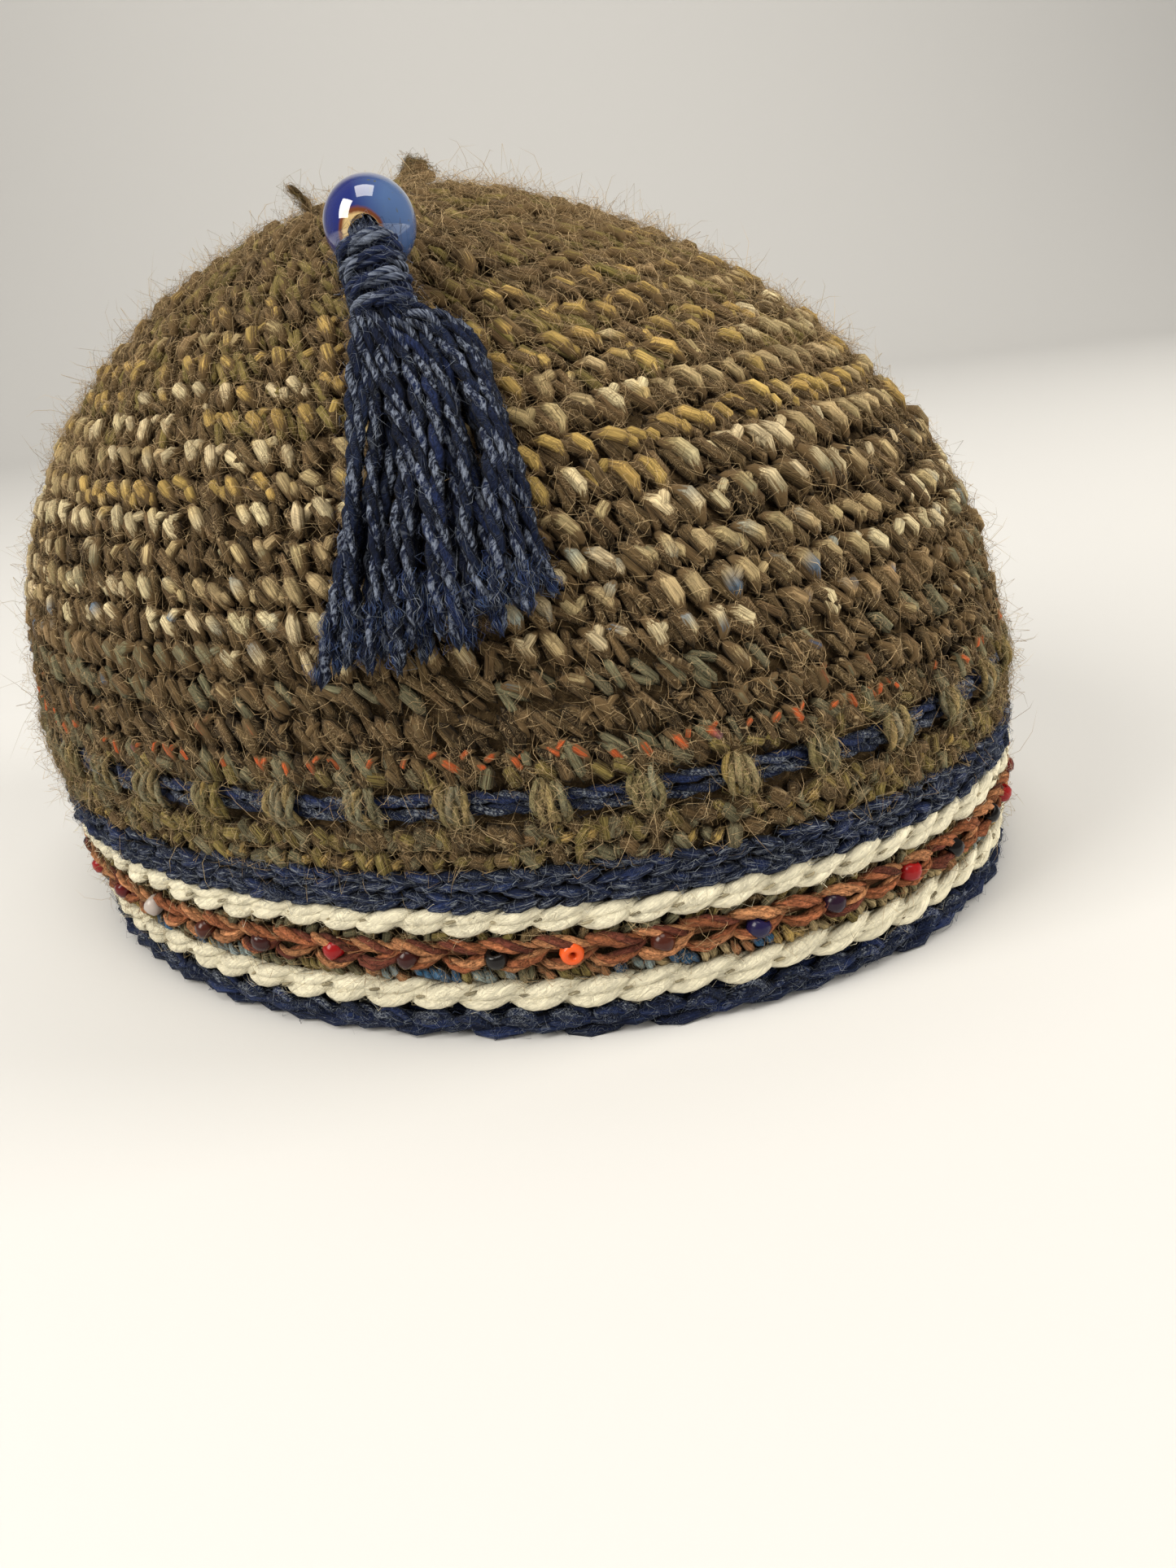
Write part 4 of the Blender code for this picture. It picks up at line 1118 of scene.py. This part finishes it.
SEED_COLOURS = {
    "red": (0.230, 0.006, 0.007), "dark_red": (0.085, 0.005, 0.006), "maroon": (0.030, 0.006, 0.005),
    "pale": (0.380, 0.330, 0.300), "brown": (0.050, 0.012, 0.007), "black": (0.004, 0.003, 0.003),
    "orange": (0.680, 0.095, 0.018), "violet": (0.010, 0.008, 0.040), "purple": (0.014, 0.005, 0.014),
}
# The seed beads on the side with the tassel, by their angle round the rim's oval in degrees; beads of
# the same colours go on round the rest, one for each step
SEED_CHART = (
    (149.5, "dark_red"), (157.0, "pale"), (166.0, "brown"), (174.0, "maroon"), (182.5, "red"),
    (190.0, "maroon"), (198.5, "black"), (205.5, "orange"), (214.0, "brown"), (223.5, "violet"),
    (232.0, "purple"), (242.5, "red"), (250.5, "black"), (261.0, "black"), (268.0, "red"),
)
SEED_STEP = 8.6
# A seed bead's outer radius, its tube's radius and half its thickness
SEED_SIZES = (1.95 * MM, 0.80 * MM, 1.45 * MM)


def seed_beads():
    """Small glass beads on the rust chain, one on every link or so."""
    chart = list(SEED_CHART)
    while chart[-1][0] + SEED_STEP < SEED_CHART[0][0] + 360 - SEED_STEP / 2:
        chart.append((chart[-1][0] + SEED_STEP, SEED_CHART[(len(chart) * 4) % len(SEED_CHART)][1]))
    count = len(chart)
    angles = np.radians([angle % 360 for angle, name in chart])
    share = np.interp(angles, RIM_ANGLES, RIM_LENGTHS) / RIM_LENGTHS[-1]
    climb = RUST_CHAIN + random.normal(-0.2 * MM, 0.25 * MM, count)
    centre, outward = wall_points(share, climb, -0.25 * MM)
    up = np.array([0.0, 0.0, 1.0])
    around = unit(np.cross(up, outward))
    facing = np.array([name == "orange" for angle, name in chart])[:, None]
    axis = np.where(facing, outward + around * 0.15, up * 0.9 + around * random.normal(0, 0.7, (count, 1)))
    axis = unit(axis + outward * random.normal(0, 0.25, (count, 1)))
    first_side = unit(np.cross(axis, np.where(facing, up, outward)))
    second_side = np.cross(axis, first_side)
    outer, tube, half_thickness = SEED_SIZES
    sides, rounds = 14, 8
    a = np.linspace(0, 2 * np.pi, sides, endpoint=False)[:, None, None]
    b = np.linspace(0, 2 * np.pi, rounds, endpoint=False)[:, None]
    reach = outer - tube + tube * np.cos(b)
    points = centre[:, None, None] + 0 * a
    for way, distance in ((first_side, reach * np.cos(a)), (second_side, reach * np.sin(a)),
                          (axis, half_thickness * np.sin(b))):
        points = points + way[:, None, None] * distance
    points = points.reshape(count, -1, 3)
    i, j = np.meshgrid(np.arange(sides) * rounds, np.arange(rounds), indexing="ij")
    i2, j2 = (i + rounds) % (sides * rounds), (j + 1) % rounds
    quads = np.stack([i + j, i2 + j, i2 + j2, i + j2], axis=-1).reshape(-1, 4)
    tints = np.array([(*SEED_COLOURS[name], 0.0) for angle, name in chart])
    skein = Skein()
    tints = np.repeat(tints[:, None], points.shape[1], axis=1)
    skein.join(points, points / MM, tints, np.zeros((0, 3), int), quads)
    paint = Paint("seed_glass", 0.22, IOR=1.45, Specular_IOR_Level=0.35)
    skein.piece("seed_beads", "rust_yarn", paint.colour(paint.attribute("tint", "Color")))


def make_fuzz(paint, low, high, spun):
    """The mohair's hairs: ones that lie over the stitches, and curly ones that stand off as haze."""
    colours = (BROWN, LIGHT_BROWN, TAN_HAIR, LIGHT_BROWN, BROWN, TAN_HAIR)
    haze = (LIGHT_BROWN, TAN_HAIR, TAN_HAIR, LIGHT_BROWN)
    for name, stubs, lying, long in (("low", low, 11500, 5600), ("high", high, 11000, 6700)):
        flat, standing = Skein(), Skein()
        lay_hairs(flat, stubs, lying, 4.4 * MM, 0.35 * MM, colours, 0.2, 0.050 * MM, 1.1, 0.35 * MM)
        lay_hairs(flat, spun, 2900, 4.2 * MM, 0.2 * MM, colours, 0.1, 0.050 * MM, 1.1, 0.12 * MM)
        flat.piece(f"lying_hairs_{name}", "mohair", paint)
        lay_hairs(standing, stubs, 5500, 3.8 * MM, 0.95 * MM, haze, 0.1, 0.034 * MM, 1.4)
        lay_hairs(standing, stubs, long, 5.6 * MM, 2.2 * MM, haze, 0.1, 0.034 * MM, 1.4)
        stand_hairs(standing, stubs, 2200, 6.0 * MM, 0.6, haze, 0.1, 0.032 * MM)
        standing.piece(f"haze_hairs_{name}", "mohair", paint)


def loose_fibres(name, paint, rows):
    """Loose fibres on the bands: for each skein how many lie, how many arch, their colours, and how
    much of the strand's own colour they keep.
    """
    hairs = Skein()
    for skein, lying, arched, colours, own in rows:
        lay_hairs(hairs, skein.stubs, lying, 3.4 * MM, 0.2 * MM, colours, own, 0.043 * MM, 0.8, 0.05 * MM)
        lay_hairs(hairs, skein.stubs, arched, 3.6 * MM, 0.8 * MM, colours, own, 0.032 * MM, 1.3, 0.0)
    hairs.piece(name, "mohair", paint)


# The photograph's camera, fitted to the hat before it was centred, and its focal length in pixels
CAMERA_PLACE = (-210.77 * MM, -112.12 * MM, 105.34 * MM)
CAMERA_RIGHT = (0.38608, -0.91626, -0.10683)
CAMERA_DOWN = (-0.38767, -0.05607, -0.92009)
FOCAL_PIXELS = 1448
PHOTO_HEIGHT = 1927
FILM = 36.0


def make_camera():
    right, down = Vector(CAMERA_RIGHT), Vector(CAMERA_DOWN)
    turn = Matrix((right, -down, right.cross(-down))).transposed().to_4x4()
    turn.translation = Vector(CAMERA_PLACE) + Vector(HAT_PLACE)
    data = bpy.data.cameras.new("photo_camera")
    data.sensor_fit = "AUTO"
    data.sensor_width = FILM
    data.lens = FOCAL_PIXELS / PHOTO_HEIGHT * FILM
    data.clip_start = 0.01
    camera = bpy.data.objects.new("photo_camera", data)
    camera.matrix_world = turn
    bpy.context.scene.collection.objects.link(camera)
    bpy.context.scene.camera = camera


# The floor's reach before and behind the hat, and the bend by which it rolls up, in metres
FLOOR_NEAR, FLOOR_FAR, FLOOR_BEND = -3.0, 1.2, 0.8
BACKDROP_HEIGHT = 4.0
BACKDROP_WIDTH = 6.0
PAPER_GREY = (0.58, 0.58, 0.58)
WARM_LIGHT = (1.0, 0.95, 0.86)
WARM_AIR = (1.0, 0.965, 0.90)
AIR_STRENGTH = 0.25


def make_floor():
    """A pale floor that rolls up into a backdrop behind the hat."""
    bend = np.linspace(0, np.pi / 2, 25)[1:]
    reach = [FLOOR_NEAR, FLOOR_FAR, *(FLOOR_FAR + FLOOR_BEND * np.sin(bend)), FLOOR_FAR + FLOOR_BEND]
    height = [0.0, 0.0, *(FLOOR_BEND - FLOOR_BEND * np.cos(bend)), BACKDROP_HEIGHT]
    away = unit(np.array([0.84, 0.40, 0.0]))
    beside = np.array([-away[1], away[0], 0.0])
    points = np.array([
        away * far + beside * side + (0, 0, up)
        for far, up in zip(reach, height) for side in (-BACKDROP_WIDTH / 2, BACKDROP_WIDTH / 2)
    ])
    quads = np.array([[2 * i + 1, 2 * i + 3, 2 * i + 2, 2 * i] for i in range(len(reach) - 1)])
    mesh = mesh_from_arrays("pale_floor", points, np.zeros((0, 3), int), quads)
    mesh.materials.append(Paint("pale_paper", 0.9).colour(solid(PAPER_GREY)))
    floor = bpy.data.objects.new("pale_floor", mesh)
    bpy.context.scene.collection.objects.link(floor)
    return away


def make_lights(away):
    """Soft light from windows, a ceiling and the room, and a light for the backdrop alone."""
    world = bpy.data.worlds.new("soft_room")
    world.use_nodes = True
    air = world.node_tree.nodes["Background"].inputs
    air["Color"].default_value = solid(WARM_AIR)
    air["Strength"].default_value = AIR_STRENGTH
    bpy.context.scene.world = world
    hat = Vector((0, 0, 0.06))
    backdrop = Vector(away * 1.9) + Vector((0, 0, 0.9))
    for name, target, direction, distance, size, power in (
        ("left_window", hat, (-0.76, 0.49, 0.62), 1.3, (0.6, 0.8), 17),
        ("right_window", hat, (-0.45, -0.85, 0.25), 1.4, (0.6, 0.8), 7),
        ("far_window", hat, (0.42, -0.88, 0.35), 1.4, (0.6, 0.8), 16),
        ("ceiling", hat, (-0.2, -0.1, 1.0), 1.6, (0.9, 0.9), 13),
        ("backdrop_light", backdrop, (-0.7, -0.3, 0.8), 1.5, (1.6, 1.6), 16),
    ):
        light = bpy.data.lights.new(name, "AREA")
        light.shape = "RECTANGLE"
        light.size, light.size_y = size
        light.energy = power
        light.color = WARM_LIGHT
        lamp = bpy.data.objects.new(name, light)
        lamp.location = target + Vector(direction).normalized() * distance
        lamp.rotation_euler = (target - lamp.location).to_track_quat("-Z", "Y").to_euler()
        lamp.visible_glossy = name in ("left_window", "ceiling")
        bpy.context.scene.collection.objects.link(lamp)


def main():
    bpy.context.scene.view_settings.view_transform = "Standard"
    make_camera()
    make_lights(make_floor())
    # The second colour of each wool covers it where the tints ask: painted shade on the cream, dark fibres
    # and painted shade on the mohair, another yarn's fibres or the marl's own strands on the rest
    brown = yarn_paint("mohair_wool", DARK_BROWN, TAN_HAIR, (0.25, 1.6), 1.0, 3.6, 4.0, 0.8, 0.7)
    variegated = yarn_paint("variegated_wool", BROWN, BROWN, (0.42, 1.38), 0.8, 3.2, 3.6, 0.4, 0.8, 13.0)
    navy = yarn_paint("navy_marl", PALE_NAVY, NAVY_HAIR, (0.15, 1.9), 0.9, 4.2, 4.6, 0.3, 0.5, 13.0)
    white = yarn_paint("cream_wool", CREAM_SHADE, WHITE_WOOL, (0.74, 1.20), 0.9, 3.0, 3.0, 0.4, 0.6)
    rust = yarn_paint("rust_marl", DARK_RUST, LIGHT_RUST, (0.28, 1.9), 0.9, 3.4, 3.0, 0.3, 0.3)
    tassel = yarn_paint("tassel_marl", MID_NAVY, NAVY_HAIR, (0.2, 1.9), 0.9, 3.0, 2.6, 0.25, 0.2, 13.0)
    loose = Paint("loose_hair", 0.8, **WOOL)
    hair = loose.colour(loose.attribute("tint", "Color"))
    dome_backing()
    low, high, spun = dome_stitches()
    low.piece("dome_stitches_low", "mohair", brown)
    high.piece("dome_stitches_high", "mohair", brown)
    spun.piece("variegated_stitches", "mohair", variegated)
    lower, upper, beaded = make_chains(white, rust)
    band = make_band(navy)
    small = make_small_rounds(brown)
    posts, woven = make_posts(brown, navy)
    edging = make_edging(navy)
    make_bead()
    make_tassel(tassel, hair)
    knot = make_cord_and_knot(navy, brown)
    seed_beads()
    make_fuzz(hair, low.stubs + small.stubs + posts.stubs, high.stubs, spun.stubs)
    navy_hair = (NAVY_HAIR, DEEP_BLUE, SLATE_BLUE, NAVY, PALE_NAVY)
    brown_hair = (LIGHT_BROWN, OLIVE, BROWN, DARK_BROWN, GREY_OLIVE)
    grey_hair = (GREY_OLIVE, PALE_GREY, OLIVE, BROWN, GREY_OLIVE)
    loose_fibres("band_hairs", hair, (
        (band, 4700, 700, navy_hair, 0.2), (woven, 900, 200, navy_hair, 0.2),
        (edging, 3600, 1200, navy_hair, 0.2),
        (lower, 1300, 700, (WHITE_WOOL, WHITE_WOOL, PALE_TAN), 0.7),
        (upper, 1200, 600, (WHITE_WOOL, WHITE_WOOL, TAN_HAIR), 0.6),
        (beaded, 900, 200, (RUST, LIGHT_BROWN, LIGHT_RUST), 0.4),
    ))
    loose_fibres("post_hairs", hair, (
        (small, 2900, 600, brown_hair, 0.3), (posts, 3200, 600, grey_hair, 0.4),
        (knot, 400, 400, brown_hair, 0.3),
    ))


main()
